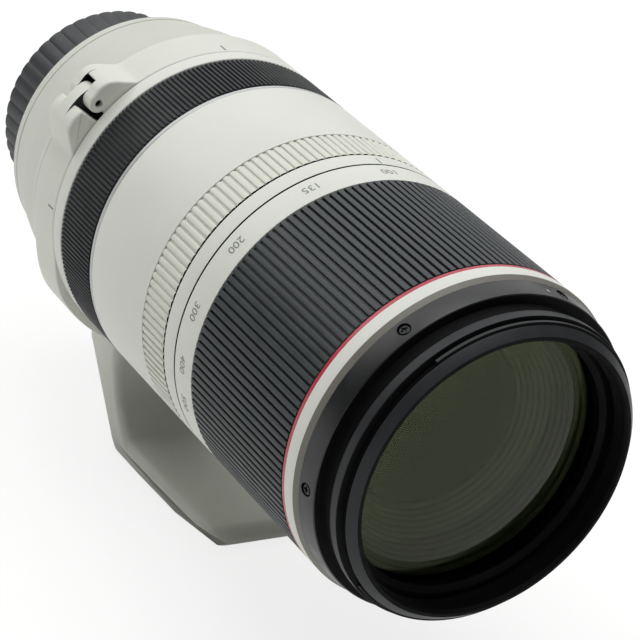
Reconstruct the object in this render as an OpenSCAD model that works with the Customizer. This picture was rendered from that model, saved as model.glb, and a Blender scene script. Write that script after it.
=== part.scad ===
// Telephoto zoom lens for a camera, retracted, with a hinged tripod collar and its rear cap on.
// Millimetres. The optical axis is Y, the front glass points to -Y and +Z is up.
// The origin is the centre of the mount flange.

/* [Barrel] */
// Outer radius of the barrel and of its rings
barrel_r = 46.9; // [45:0.1:50]
// Wall of the rings that turn on the barrel
ring_wall = 1.6; // [1.3:0.1:2]
// Wall of the barrel under the turning rings
nose_wall = 1.2; // [1:0.1:1.6]
// Radial running gap between two sleeves
run_gap = 0.25; // [0.2:0.05:0.4]
// Gap along the axis beside a turning ring
ring_gap = 0.3; // [0.2:0.05:0.5]
// Radius of the white rear rim
rim_r = 40; // [38.5:0.1:42]
// Distance from the mount flange to the rear rim
rim_s = 8; // [7:0.1:10]
// Length of the flared rear housing
cone_len = 29; // [26:0.5:36]
// Radius of the flared rear housing at its wide end
cone_r = 46; // [45:0.1:48]
// Width of the plain ring in front of the collar
stop_w = 5; // [4:0.1:8]
// Width of the light trim line
trim_w = 1.8; // [1:0.1:3]
// Length of the smooth middle barrel
body_w = 30.9; // [28:0.1:40]
// Width of the index band
index_w = 5.8; // [4:0.1:8]

/* [Rings] */
// Width of the focus ring
focus_w = 18; // [14:0.1:24]
// Ribs round the focus ring
focus_ribs = 212; // [120:4:240]
// Width of the zoom tension ring
tension_w = 12.3; // [10:0.1:16]
// Ribs round the zoom tension ring
tension_ribs = 128; // [80:4:160]
// Width of the focal length scale
scale_w = 9.3; // [8:0.1:12]
// Length of the rubber zoom grip
grip_w = 47.5; // [44:0.5:60]
// Ribs round the zoom grip
grip_ribs = 135; // [90:3:160]
// Depth of the grooves in the zoom grip
grip_groove = 0.9; // [0.4:0.1:1.2]
// Depth of the grooves in the two finer rings
fine_groove = 0.5; // [0.3:0.1:0.8]

/* [Zoom drive] */
// Turn of the zoom ring from the short to the long end, in degrees
zoom_turn = 118; // [100:1:124]
// Travel of the front barrel
front_travel = 85; // [76:1:86]
// Travel of the inner zoom carriage
carriage_travel = 24; // [18:1:26]
// Wall of the sleeve that joins the zoom ring to the cam
sleeve_wall = 1.4; // [1.2:0.1:1.6]
// Wall of the front tube
tube_wall = 1.7; // [1.4:0.1:2]
// Wall of the fixed guide barrel
guide_wall = 1.6; // [1.3:0.1:2]
// Wall of the cam barrel
cam_wall = 1.2; // [1:0.1:1.5]
// Radius of a cam follower
pin_r = 1.5; // [1.2:0.1:1.8]
// Clearance of a follower in its slot
pin_gap = 0.3; // [0.2:0.05:0.4]
// Radius of a zoom key
key_r = 1.6; // [1.3:0.1:1.9]

/* [Front] */
// Width of the red accent line
accent_w = 1.3; // [0.6:0.1:1.6]
// Width of the white band behind the bezel
band_w = 5.6; // [5:0.1:8]
// Length of the black front bezel
bezel_w = 17.5; // [16.5:0.1:20]
// Radius of the bezel at its rear
bezel_r = 46.1; // [45:0.1:46.8]
// Radius of the front rim
rim_front_r = 41; // [40.4:0.1:42]
// Radius of the filter thread, at the crests of its threads
filter_r = 38.1; // [37.6:0.05:38.4]
// Length of the filter thread
filter_len = 5; // [4:0.1:5.6]
// Angle of each gap in the hood bayonet
hood_gap = 94; // [80:1:110]
// Angle of the first hood gap from the top, towards the -X side
hood_gap_at = 83; // [60:1:100]
// Radius of the front glass
front_glass_r = 37.2; // [36:0.1:37.6]
// Radius of curvature of the front glass
front_glass_curve = 180; // [140:5:260]
// Screws round the bezel
bezel_screw_count = 6; // [3:1:8]
// Angle of the first bezel screw from the top
bezel_screw_at = 36.5; // [30:0.5:45]
// Radius of a bezel screw head
bezel_screw_r = 1.5; // [1.2:0.1:1.8]
// Grooves in the light baffle behind the glass
baffle_steps = 14; // [8:1:18]
// Length of the light baffle
baffle_len = 34; // [26:1:38]
// Radius of the baffle's rear opening
baffle_r = 25; // [20:0.5:30]

/* [Optics] */
// Radius of the glass in the zoom carriage
carriage_glass_r = 24; // [20:0.5:26]
// Length of the zoom carriage
carriage_len = 26; // [24:0.5:28]
// Blades of the iris
blade_count = 9; // [7:1:9]
// Radius of the open iris
iris_r = 17; // [14:0.5:18]
// Radius of the stabiliser glass
shift_glass_r = 16; // [13:0.5:17]
// Travel of the stabiliser to each side
shift_travel = 1; // [0.5:0.1:1.2]
// Radius of the focus glass
focus_glass_r = 19; // [16:0.5:21]
// Travel of the focus group
focus_travel = 9; // [6:0.5:10]
// Radius of a focus guide rod
rod_r = 1.5; // [1.2:0.1:2]
// Distance of the guide rods from the axis
rod_at = 27; // [25.5:0.1:27.5]
// Radius of the fixed rear glass
rear_glass_r = 19; // [16:0.5:20]

/* [Mount] */
// Radius of the mount flange
flange_r = 33.4; // [32.5:0.1:34]
// Thickness of the mount flange
flange_t = 3; // [2.5:0.1:4]
// Radius of the bayonet tube
bayonet_r = 26; // [25.5:0.1:26.4]
// Length of the bayonet tube behind the flange
bayonet_len = 7; // [6.5:0.1:7.5]
// Height of a bayonet lug
lug_h = 1.9; // [1.4:0.1:2.1]
// Thickness of a bayonet lug
lug_t = 1.6; // [1.2:0.1:1.8]
// Angle that a bayonet lug covers
lug_angle = 50; // [40:1:52]
// Contact pins in the mount
contact_count = 12; // [8:1:12]
// Outer radius of the rear cap over its teeth
cap_r = 32.6; // [32:0.1:33.2]
// Length of the rear cap
cap_len = 15.3; // [14:0.1:18]
// Teeth round the rear cap
cap_teeth = 46; // [30:2:60]
// Wall of the rear cap
cap_wall = 2.2; // [1.8:0.1:2.6]

/* [Tripod collar] */
// Width of the collar
collar_w = 13.2; // [12:0.1:16]
// Wall of the collar
collar_wall = 3.6; // [3:0.1:3.8]
// Running gap of the collar on the barrel
collar_gap = 0.15; // [0.1:0.05:0.25]
// Angle of the hinge from the top, towards the -X side
hinge_at = 49.7; // [46:0.1:54]
// Distance of the hinge pin from the axis
hinge_r = 49.9; // [49.5:0.1:51]
// How much thicker the collar is below
collar_swell = 2.5; // [1:0.1:4]
// Radius of a hinge knuckle
knuckle_r = 2.9; // [2.6:0.1:3.1]
// Radius of the hinge pin
hinge_pin_r = 1.1; // [0.9:0.05:1.3]
// Distance from the axis to the screw between the clamp ears
ear_at = 53; // [52.5:0.1:55]
// Thickness of a clamp ear
ear_t = 7.5; // [6.5:0.1:9]
// Radius of the lock knob
knob_r = 6.2; // [5.5:0.1:8]
// Height of the lock knob
knob_h = 7; // [6:0.1:12]
// Lobes round the lock knob
knob_lobes = 16; // [10:2:24]
// Radius of the lock screw
lock_screw_r = 2; // [1.6:0.1:2.4]

/* [Foot] */
// Depth of the sole below the optical axis
foot_h = 77; // [74:0.5:84]
// Width of the foot at its front
foot_w = 34; // [30:0.5:40]
// How much each side of the foot widens towards its heel
foot_flare = 2.2; // [0.5:0.1:4]
// How much each side of the arm is wider than the foot's front
arm_flare = 1; // [0:0.1:3]
// Distance from the mount flange to the front of the sole
foot_front = 115.5; // [105:0.5:125]
// Thickness of the sole
sole_t = 5.4; // [5:0.1:7]
// Radius of the sole's front corners
sole_corner = 9; // [4:0.5:12]
// Radius of the tripod thread, at the crests of its threads
tripod_r = 2.55; // [2.4:0.05:2.7]
// Outer radius of the threaded bush
bush_r = 6; // [5:0.1:7]
// Thickness of the sole above the threaded bush
bush_cover = 1; // [0.6:0.1:1.6]
// Distance from the mount flange to the tripod thread
tripod_s = 90; // [78:0.5:98]

/* [Switches] */
// Angle from the middle of the panel to each edge
panel_half = 29; // [27:0.5:34]
// Length of the switch panel
panel_len = 23; // [21:0.5:25]
// Height of the panel above the barrel
panel_proud = 0.7; // [0.4:0.1:1]
// Angle between two switches
switch_pitch = 13; // [11.5:0.1:13.5]
// Length of a switch slider
slider_len = 6; // [5:0.1:7]
// Width of a switch slider
slider_w = 3.4; // [2.8:0.1:3.8]
// Height of a slider above the panel
slider_proud = 1.1; // [0.7:0.1:1.6]
// Travel of a switch with two places
travel_two = 3.5; // [3:0.1:4]
// Travel of a switch with three places
travel_three = 6; // [5:0.1:7]

/* [Hidden] */
fn = 180;
fn_small = 48;
cut = 1;                                  // how far a cutter runs past the faces that it cuts
white = "#D8D9D2";
black = "#2A2C2D";
steel = "#8D9092";
brass = "#B9A16B";
glass = "#5C6650";

// Radii of the nested sleeves, from the outside in
ring_ri = barrel_r - ring_wall;
nose_ro = ring_ri - run_gap;
nose_ri = nose_ro - nose_wall;
sleeve_ro = nose_ri - run_gap;
sleeve_ri = sleeve_ro - sleeve_wall;
tube_ro = sleeve_ri - run_gap;
tube_ri = tube_ro - tube_wall;
guide_ro = tube_ri - run_gap;
guide_ri = guide_ro - guide_wall;
cam_ro = guide_ri - run_gap;
cam_ri = cam_ro - cam_wall;
carriage_ro = cam_ri - run_gap;

// Distances along the axis from the mount flange
s_collar = rim_s + cone_len;
s_stop = s_collar + collar_w + 2 * ring_gap;
s_focus = s_stop + stop_w + ring_gap;
s_trim = s_focus + focus_w + ring_gap;
s_body = s_trim + trim_w;
s_tension = s_body + body_w + ring_gap;
s_index = s_tension + tension_w + ring_gap;
s_scale = s_index + index_w + ring_gap;
s_grip = s_scale + scale_w;
s_accent = s_grip + grip_w + ring_gap;
s_band = s_accent + accent_w;
s_bezel = s_band + band_w;
s_front = s_bezel + bezel_w;

// Rear housing
collar_seat = barrel_r - collar_wall - collar_gap;
wall = 1.6;                               // wall of the rear housing under the collar
bore = collar_seat - wall;                // bore that takes the guide barrel
guide_s = s_collar - 7;                   // seat of the guide barrel's flange
guide_flange = 3;
lock_ring = 2.5;
board_s = rim_s + 4;
board_t = 1.6;
board_r = rim_r - 1.7;
frame_r = rim_r - 4;                      // bore at the rear end, for the rear lens frame
spigot = 3;                               // overlap of the rear housing inside the middle barrel

// Zoom drive
key_s = s_body + spigot + 2 * key_r + 1;
sleeve_s = key_s - key_r - 1;
tube_s = key_s + key_r + 2;
follower_s = tube_s + pin_r + 2;
cam_front = follower_s + front_travel + pin_r + 2.5;
guide_front = cam_front + 1;
cam_rear = guide_s + 8;
carriage_s = cam_rear + 2;
carriage_pin_s = carriage_s + 6;
slot_half = pin_r + pin_gap;
follower_at = 30;                         // angle of the first follower of the front tube
carriage_pin_at = 90;                     // angle of the first follower of the carriage
seal_w = 3;

// Front group
cell_s = guide_front + 2;
cell_front = s_bezel + 8;
glass_edge = 5;                           // height of the front glass at its edge
second_t = 5;
second_r = min(cam_ri - 0.5, front_glass_r - 0.75);
second_s = cell_front - glass_edge - 0.5 - second_t;
second_curve_r = 240;
cell_wall = 3; // wall of the front cell round the front glass
cell_r = front_glass_r + cell_wall; // head of the front cell, in the bore of the bezel
retainer_t = 1.8;
screw_s = s_bezel + 2.7;
step_s = s_bezel + 5.6;
ridge_r = rim_front_r + 2.2;              // ridge that the hood slides over
groove_r = rim_front_r + 0.7;             // groove that the hood's lugs turn in
lip_r = rim_front_r + 1.2;                // lip that holds the hood's lugs
thread_lead = 0.8;                        // chamfer in front of the filter thread
thread_s = s_front - thread_lead - filter_len;
relief_r = filter_r + 1.3; // clear bore behind the filter thread
shank_r = bezel_screw_r - 0.6;

// Zoom carriage
iris_s = carriage_s + 10;
iris_t = 4;
shift_t = 3.2;
shift_gap = 0.3;
shift_room = carriage_ro - 1.6 - shift_gap;  // bore of the carriage round the shift frames
yaw_s = iris_s + iris_t + shift_gap;
pitch_s = yaw_s + shift_t + shift_gap;
carriage_curve_r = 90;
shift_curve_r = 80;

// Rear group
focus_s = board_s + 3;
focus_t = 6;
rail_end = focus_s + focus_t + focus_travel + 2;  // front end of the focus rods
rear_frame_t = 3;
rear_curve_r = 60;
focus_curve_r = 70;
motor_at = focus_glass_r + 5.5; // distance of the focus motor from the axis
motor_w = 8;
motor_h = 4.5;

// Mount and rear cap
throat_r = bayonet_r - 1.8;
mount_screw_r = 1;
mount_head_r = 1.6;
mount_head_h = 1.1;
mount_screw_len = 4; // length of a mount screw in the rear housing
mount_screw_at = flange_r - 1.7;          // distance of the mount screws from the axis
cap_gap = 0.3;
cap_ri = cap_r - 0.9 - cap_wall;
cap_hook_s = -(bayonet_len - lug_t - cap_gap - 0.5);

// Collar
collar_ri = barrel_r - collar_wall;
collar_s0 = s_collar + ring_gap;
collar_s1 = collar_s0 + collar_w;
knuckle_split = collar_s0 + collar_w * 0.46;
hinge_x = -hinge_r * sin(hinge_at);
hinge_y = hinge_r * cos(hinge_at);
ear_tilt = -atan2(hinge_y, ear_at - hinge_x);  // the screw is square to the line from the hinge
ear_gap = 0.8;
ear_w = 10;
ear_root = ear_at - collar_ri + 0.3; // length of an ear from its screw in to the collar's bore
ear_out = 5; // length of an ear beyond its screw
screw_reach = 6;
lug_r = hinge_r + 3.3;
swell_at = 104;                           // angle at which the collar starts to thicken
swell_over = 25;                          // angle over which it thickens
collar_end = 300;                         // angle at which the lower half ends, before it is split
lug_inset = 0.3;                          // how far the hinge lugs stand back from the collar's faces

// Switches
panel_mid = -90;
panel_s = s_body + (body_w - panel_len) / 2;
panel_ri = nose_ro + 0.25;
switch_travel = [travel_two, travel_three, travel_two, travel_three];
slider_gap = 0.3;

// In this frame z runs forward from the flange, y is up and angles count from the top towards -X
module lens() {
  rotate([90, 0, 0]) children();
}

module ring(ri, ro, s0, s1) {
  rotate_extrude($fn = fn) translate([ri, s0]) square([ro - ri, s1 - s0]);
}

module turned(points) {
  rotate_extrude($fn = fn) polygon(points);
}

module arc_block(a0, a1, ri, ro, s0, s1) {
  rotate([0, 0, 90 + a0]) rotate_extrude(angle = a1 - a0, $fn = fn)
    translate([ri, s0]) square([ro - ri, s1 - s0]);
}

// Puts a shape at angle a, with its own z pointing away from the axis
module radial(a, r, s) {
  rotate([0, 0, a]) translate([0, r, s]) rotate([-90, 0, 0]) children();
}

module spokes(count, first) {
  for (i = [0 : count - 1]) rotate([0, 0, first + i * 360 / count]) children();
}

function polar(r, a) = [-r * sin(a), r * cos(a)];

// A ring with square ribs along the axis; land is the share of the pitch that a rib takes
module ribbed(count, ri, ro, groove, land, s0, s1) {
  pitch = 360 / count;
  points = [for (i = [0 : count - 1]) each [
    polar(ro, (i - land / 2) * pitch), polar(ro, (i + land / 2) * pitch),
    polar(ro - groove, (i + land / 2 + 0.08) * pitch), polar(ro - groove, (i + 0.92 - land / 2) * pitch)]];
  translate([0, 0, s0]) linear_extrude(s1 - s0) difference() {
    polygon(points);
    circle(r = ri, $fn = fn);
  }
}

// A lens between two planes, with spherical faces; a curve of 0 is a flat face
module glass_disc(r, s0, s1, front_curve, rear_curve) {
  sag = front_curve > 0 ? front_curve - sqrt(front_curve * front_curve - r * r) : 0;
  difference() {
    intersection() {
      translate([0, 0, s0]) cylinder(r = r, h = s1 - s0 + sag, $fn = fn);
      if (front_curve > 0) translate([0, 0, s1 + sag - front_curve]) sphere(r = front_curve, $fn = fn);
    }
    if (rear_curve > 0) translate([0, 0, s0 - rear_curve + 1]) sphere(r = rear_curve, $fn = fn);
  }
}

// A slot that climbs round the cam barrel as the zoom ring turns; margin runs past both ends
module cam_slot(first, s0, travel, margin) {
  lead = travel / zoom_turn;
  climb = atan2(travel, zoom_turn * PI / 180 * cam_ri);
  half = asin(slot_half / sin(climb) / cam_ri);
  turn = zoom_turn + 2 * margin;
  translate([0, 0, s0 - margin * lead]) rotate([0, 0, first - margin])
    linear_extrude(height = turn * lead, twist = -turn, slices = 36)
      polygon([polar(cam_ri - cut, -half), polar(cam_ro + cut, -half),
        polar(cam_ro + cut, half), polar(cam_ri - cut, half)]);
}

module guide_slot(s0, travel) {
  translate([-slot_half, guide_ri - cut, s0 - slot_half])
    cube([2 * slot_half, guide_wall + 2 * cut, travel + 2 * slot_half]);
}

module rear_housing() color(white) lens() difference() {
  turned([[flange_r - 3, flange_t], [flange_r + 1.4, flange_t], [rim_r, rim_s], [rim_r + 0.9, rim_s + 5],
    [rim_r + 3.6, rim_s + 0.55 * cone_len], [cone_r - 0.9, s_collar - 4], [cone_r, s_collar - 1],
    [cone_r - 0.4, s_collar], [collar_seat, s_collar], [collar_seat, s_stop], [nose_ro, s_stop],
    [nose_ro, s_body], [nose_ri, s_body], [nose_ri, s_body + spigot], [bore, s_body + spigot],
    [bore, guide_s], [board_r, guide_s], [board_r, board_s], [frame_r, board_s],
    [frame_r, rim_s], [flange_r - 3, rim_s]]);
  spokes(4, 45) translate([0, mount_screw_at, flange_t - cut])
    cylinder(r = mount_screw_r, h = mount_screw_len + 2 * cut, $fn = fn_small);
}

module middle_barrel() color(white) lens() difference() {
  turned([[nose_ri, s_body], [barrel_r, s_body], [barrel_r, s_tension - ring_gap],
    [nose_ro, s_tension - ring_gap], [nose_ro, s_grip - 1.4], [nose_ri, s_grip - 1.4]]);
  arc_block(panel_mid - panel_half, panel_mid + panel_half, panel_ri, barrel_r + cut,
    panel_s, panel_s + panel_len);
}

module stop_ring() color(white) lens() ring(nose_ro, barrel_r, s_stop, s_stop + stop_w);

module trim_ring() color("#B7BABC") lens() ring(nose_ro, barrel_r - 0.1, s_trim, s_body);

module index_ring() color(white) lens() ring(nose_ro, barrel_r, s_index, s_index + index_w);

module guide_barrel() color(steel) lens() difference() {
  turned([[guide_ri, guide_s], [bore, guide_s], [bore, guide_s + guide_flange],
    [guide_ro, guide_s + guide_flange], [guide_ro, guide_front], [guide_ri, guide_front]]);
  spokes(3, follower_at) guide_slot(follower_s, front_travel);
  spokes(3, carriage_pin_at) guide_slot(carriage_pin_s, carriage_travel);
  for (a = [0, 180]) arc_block(a - zoom_turn - 4, a + 4, guide_ri - cut, guide_ro + cut,
    key_s - key_r - pin_gap, key_s + key_r + pin_gap);
}

module guide_lock_ring() color(brass) lens()
  ring(guide_ro + 0.1, bore, guide_s + guide_flange, guide_s + guide_flange + lock_ring);

module rear_lens_frame() color(black) lens() difference() {
  turned([[rear_glass_r - 1, flange_t], [flange_r - 3, flange_t], [flange_r - 3, rim_s], [frame_r, rim_s],
    [frame_r, rim_s + rear_frame_t], [rear_glass_r + 2.5, rim_s + rear_frame_t], [rear_glass_r + 2.5, board_s],
    [rear_glass_r, board_s], [rear_glass_r, flange_t + 1.5], [rear_glass_r - 1, flange_t + 1.5]]);
  spokes(2, 0) translate([0, rod_at, rim_s]) cylinder(r = rod_r, h = rear_frame_t + cut, $fn = fn_small);
}

module rear_glass() color(glass) lens() glass_disc(rear_glass_r, flange_t + 1.5, board_s - 3, rear_curve_r, 0);

module focus_rods() color(steel) lens()
  spokes(2, 0) translate([0, rod_at, rim_s]) cylinder(r = rod_r, h = rail_end - rim_s, $fn = fn_small);

module focus_motor() color("#5A5C60") lens()
  rotate([0, 0, 90]) translate([-motor_w / 2, motor_at, rim_s + rear_frame_t])
    cube([motor_w, motor_h, rail_end - rim_s - rear_frame_t]);

module circuit_board() color("#2F5D43") lens() ring(rod_at + rod_r + 3.8, board_r, board_s, board_s + board_t);

module mount_plate() color(steel) lens() difference() {
  union() {
    ring(throat_r, flange_r, 0, flange_t);
    ring(throat_r, bayonet_r, -bayonet_len, 0);
    spokes(3, 0) arc_block(-lug_angle / 2, lug_angle / 2, bayonet_r - 0.5, bayonet_r + lug_h,
      -bayonet_len + 0.5, -bayonet_len + 0.5 + lug_t);
  }
  spokes(4, 45) translate([0, mount_screw_at, -cut]) {
    cylinder(r = mount_screw_r, h = flange_t + 2 * cut, $fn = fn_small);
    cylinder(r = mount_head_r, h = mount_head_h + 0.1 + cut, $fn = fn_small);
  }
}

module mount_screws() color(steel) lens() spokes(4, 45) translate([0, mount_screw_at, 0]) difference() {
  translate([0, 0, 0.1]) {
    cylinder(r = mount_head_r, h = mount_head_h, $fn = fn_small);
    cylinder(r = mount_screw_r, h = flange_t + mount_screw_len, $fn = fn_small);
  }
  for (a = [0, 90]) rotate([0, 0, a]) translate([-1, -0.2, 0]) cube([2, 0.4, 0.6]);
}

module mount_seal() color(black) lens() turned([[flange_r, 0.4], [flange_r + 1, 0.2], [flange_r + 1.4, flange_t],
  [flange_r, flange_t]]);

module contact_block() color(black) lens()
  arc_block(180 - 38, 180 + 38, throat_r - 3.2, throat_r, -bayonet_len + 0.6, flange_t);

module contact_pins() color(brass) lens() for (i = [0 : contact_count - 1])
  rotate([0, 0, 180 + (i - (contact_count - 1) / 2) * 68 / contact_count])
    translate([0, throat_r - 1.6, -bayonet_len + 0.3]) cylinder(r = 0.8, h = 0.3, $fn = fn_small);

module switch_place(i) {
  radial(panel_mid + (1.5 - i) * switch_pitch, 0, panel_s + panel_len / 2) children();
}

module switch_panel() color("#C9CBC6") lens() difference() {
  arc_block(panel_mid - panel_half + 0.2, panel_mid + panel_half - 0.2, panel_ri, barrel_r + panel_proud,
    panel_s + 0.15, panel_s + panel_len - 0.15);
  for (i = [0 : 3]) switch_place(i) {
    room = slider_len + switch_travel[i] + 2 * slider_gap;
    translate([-slider_w / 2 - slider_gap, -room / 2, panel_ri - 3])
      cube([slider_w + 2 * slider_gap, room, 9]);
  }
}

// Each slider rests at the rear end of its window
module slider(i) color(black) lens() switch_place(i) {
  low = panel_ri + 0.25;
  translate([-slider_w / 2, switch_travel[i] / 2 - slider_len / 2, low])
    cube([slider_w, slider_len, barrel_r + panel_proud + slider_proud - low]);
}

module zoom_ring() color(white) lens()
  turned([[ring_ri, s_scale], [barrel_r, s_scale], [barrel_r, s_grip], [ring_ri, s_grip],
    [ring_ri, s_grip + grip_w], [sleeve_ro, s_grip + grip_w], [sleeve_ro, s_grip - 1], [ring_ri, s_grip - 1]]);

module zoom_grip() color(black) lens()
  ribbed(grip_ribs, ring_ri, barrel_r, grip_groove, 0.62, s_grip, s_grip + grip_w);

module drive_sleeve() color(steel) lens() difference() {
  ring(sleeve_ri, sleeve_ro, sleeve_s, s_grip + grip_w - seal_w);
  for (a = [0, 180]) radial(a, sleeve_ri - cut, key_s)
    cylinder(r = key_r, h = sleeve_wall + 2 * cut, $fn = fn_small);
}

module cam_barrel() color(brass) lens() difference() {
  ring(cam_ri, cam_ro, cam_rear, cam_front);
  spokes(3, follower_at) cam_slot(0, follower_s, front_travel, 3.5);
  spokes(3, carriage_pin_at) cam_slot(0, carriage_pin_s, carriage_travel, 10);
  for (a = [0, 180]) radial(a, cam_ri - cut, key_s) cylinder(r = key_r, h = cam_wall + 2 * cut, $fn = fn_small);
}

module zoom_keys() color(steel) lens() for (a = [0, 180])
  radial(a, cam_ri + 0.2, key_s) cylinder(r = key_r, h = sleeve_ro - cam_ri - 0.4, $fn = fn_small);

module dust_seal() color("#3B3B3B") lens()
  ring(tube_ro + 0.1, sleeve_ro, s_grip + grip_w - seal_w, s_grip + grip_w - 0.5);

module front_tube() color(white) lens() difference() {
  ring(tube_ri, tube_ro, tube_s, s_bezel);
  spokes(3, follower_at) radial(0, tube_ri - cut, follower_s)
    cylinder(r = pin_r, h = tube_wall + 2 * cut, $fn = fn_small);
}

module front_band() color(white) lens()
  turned([[tube_ro, s_band], [barrel_r, s_band], [barrel_r, s_bezel - 1.5], [min(barrel_r, bezel_r + 0.1), s_bezel],
    [tube_ro, s_bezel]]);

module accent_ring() color("#B5404F") lens() ring(tube_ro, barrel_r, s_accent, s_band);

// The hood's lugs enter through the gaps between the two lips
module hood_lips() {
  lip = 180 - hood_gap;
  spokes(2, hood_gap_at + hood_gap / 2) rotate([0, 0, 90]) rotate_extrude(angle = lip, $fn = fn)
    polygon([[groove_r - 0.3, step_s + 8.6], [groove_r, step_s + 8.6], [lip_r, step_s + 8.9],
      [lip_r, s_front - 1.4], [groove_r, s_front - 0.8], [groove_r - 0.3, s_front - 1]]);
}

module front_bezel() color(black) lens() difference() {
  union() {
    turned([[cell_r, s_bezel], [bezel_r, s_bezel], [bezel_r - 0.7, step_s - 0.4], [bezel_r - 1.1, step_s],
      [rim_front_r + 1.7, step_s + 0.3], [rim_front_r + 1.5, step_s + 3.8], [ridge_r, step_s + 4],
      [ridge_r, step_s + 6.6], [groove_r, step_s + 7], [groove_r, s_front - 0.8], [rim_front_r, s_front],
      [filter_r + 0.9, s_front], [filter_r, s_front - thread_lead], [filter_r, thread_s],
      [relief_r, thread_s], [relief_r, cell_front], [cell_r, cell_front]]);
    hood_lips();
  }
  spokes(bezel_screw_count, bezel_screw_at) radial(0, cell_r - cut, screw_s) {
    cylinder(r = shank_r, h = 9, $fn = fn_small);
    translate([0, 0, bezel_r - cell_r - 0.5]) cylinder(r = bezel_screw_r, h = 4, $fn = fn_small);
  }
}

module bezel_screws() color(black) lens() spokes(bezel_screw_count, bezel_screw_at)
  radial(0, 0, screw_s) difference() {
    union() {
      translate([0, 0, cell_r - 1.5]) cylinder(r = shank_r, h = bezel_r - cell_r + 0.9, $fn = fn_small);
      translate([0, 0, bezel_r - 1.5]) cylinder(r = bezel_screw_r, h = 0.9, $fn = fn_small);
    }
    for (a = [0, 90]) rotate([0, 0, a]) translate([-0.9, -0.2, bezel_r - 1]) cube([1.8, 0.4, 2]);
  }

module front_cell() color(black) lens() difference() {
  turned([[second_r, cell_s], [tube_ri, cell_s], [tube_ri, s_bezel], [cell_r, s_bezel], [cell_r, cell_front],
    [front_glass_r, cell_front], [front_glass_r, cell_front - glass_edge - 0.5],
    [second_r, cell_front - glass_edge - 0.5]]);
  spokes(bezel_screw_count, bezel_screw_at) radial(0, cell_r - 1.6, screw_s)
    cylinder(r = shank_r, h = 4, $fn = fn_small);
}

module front_glass() color(glass) lens()
  glass_disc(front_glass_r, cell_front - glass_edge - 0.5, cell_front - 0.5, front_glass_curve, 0);

module second_glass() color(glass) lens() glass_disc(second_r, second_s, second_s + second_t, 0, second_curve_r);

module retaining_ring() color(black) lens() difference() {
  ring(front_glass_r - 0.9, relief_r, cell_front, cell_front + retainer_t);
  spokes(2, 15) translate([-1.5, front_glass_r - 0.1, cell_front + 0.8]) cube([3, 2, 3]);
}

module cam_followers() color(brass) lens() spokes(3, follower_at)
  radial(0, cam_ri + 0.2, follower_s) cylinder(r = pin_r, h = tube_ro - 0.2 - cam_ri - 0.2, $fn = fn_small);

// The inner wall steps down in saw teeth from the glass to the rear opening
module light_baffle() color(black) lens() {
  s0 = second_s - baffle_len;
  step = baffle_len / baffle_steps;
  top = second_r - 0.6;
  fall = (top - baffle_r) / baffle_steps;
  teeth = [for (i = [0 : baffle_steps - 1]) each [[baffle_r + i * fall, s0 + i * step],
    [baffle_r + i * fall, s0 + (i + 0.75) * step], [baffle_r + (i + 1) * fall, s0 + (i + 0.75) * step]]];
  turned(concat(teeth, [[top, second_s], [second_r, second_s], [second_r, cell_s],
    [second_r - 0.1, cell_s - 1], [baffle_r + 1.6, s0]]));
}

module zoom_carriage() color(black) lens() difference() {
  turned([[carriage_ro - 4, carriage_s], [carriage_ro, carriage_s], [carriage_ro, carriage_s + carriage_len],
    [carriage_ro - 1.6, carriage_s + carriage_len], [carriage_ro - 1.6, iris_s], [carriage_glass_r, iris_s],
    [carriage_glass_r, carriage_s + 1.5], [carriage_glass_r - 1, carriage_s + 1.5],
    [carriage_glass_r - 1, carriage_s]]);
  spokes(3, carriage_pin_at) radial(0, carriage_ro - 3, carriage_pin_s)
    cylinder(r = pin_r, h = 5, $fn = fn_small);
}

module carriage_followers() color(brass) lens() spokes(3, carriage_pin_at)
  radial(0, carriage_ro - 3, carriage_pin_s)
    cylinder(r = pin_r, h = guide_ro - 0.2 - carriage_ro + 3, $fn = fn_small);

module carriage_glass() color(glass) lens() glass_disc(carriage_glass_r, carriage_s + 1.5, iris_s - 3, carriage_curve_r, 0);

module iris_housing() color(black) lens() difference() {
  ring(iris_r + 1, carriage_ro - 1.6, iris_s, iris_s + iris_t);
  ring(iris_r - cut, carriage_ro - 4, iris_s + 1, iris_s + iris_t - 0.8);
}

// Overlapping blades, each in its own layer of the housing
module iris_blades() color("#3A3A3C") lens() {
  layer = (iris_t - 1.8) / blade_count;
  for (i = [0 : blade_count - 1]) rotate([0, 0, i * 360 / blade_count])
    arc_block(0, 70, iris_r, carriage_ro - 4.3, iris_s + 1 + (i + 0.1) * layer, iris_s + 1 + (i + 0.9) * layer);
}

module yaw_frame() color("#4A4C50") lens()
  ring(shift_glass_r + 3, shift_room - shift_travel, yaw_s, yaw_s + shift_t);

module pitch_frame() color("#5C5E62") lens()
  ring(shift_glass_r, shift_room - 2 * shift_travel - 1, pitch_s, pitch_s + shift_t);

module stabiliser_glass() color(glass) lens() glass_disc(shift_glass_r, pitch_s, pitch_s + shift_t, shift_curve_r, 0);

module focus_cell() color(black) lens() difference() {
  union() {
    ring(focus_glass_r, focus_glass_r + 2.5, focus_s, focus_s + focus_t);
    spokes(2, 0) {
      translate([0, rod_at, focus_s]) cylinder(r = rod_r + 1.6, h = focus_t, $fn = fn_small);
      translate([-2, focus_glass_r + 1, focus_s]) cube([4, rod_at - focus_glass_r - rod_r - 1, focus_t]);
    }
    rotate([0, 0, 90]) translate([-1.5, focus_glass_r + 1, focus_s])
      cube([3, motor_at - 0.3 - focus_glass_r - 1, focus_t]);
  }
  spokes(2, 0) translate([0, rod_at, focus_s - cut])
    cylinder(r = rod_r + 0.05, h = focus_t + 2 * cut, $fn = fn_small);
}

module focus_glass() color(glass) lens() glass_disc(focus_glass_r, focus_s + 1, focus_s + focus_t - 1.5, focus_curve_r, 0);

module focus_ring() color(black) lens()
  ribbed(focus_ribs, ring_ri, barrel_r, fine_groove, 0.5, s_focus, s_focus + focus_w);

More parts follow.
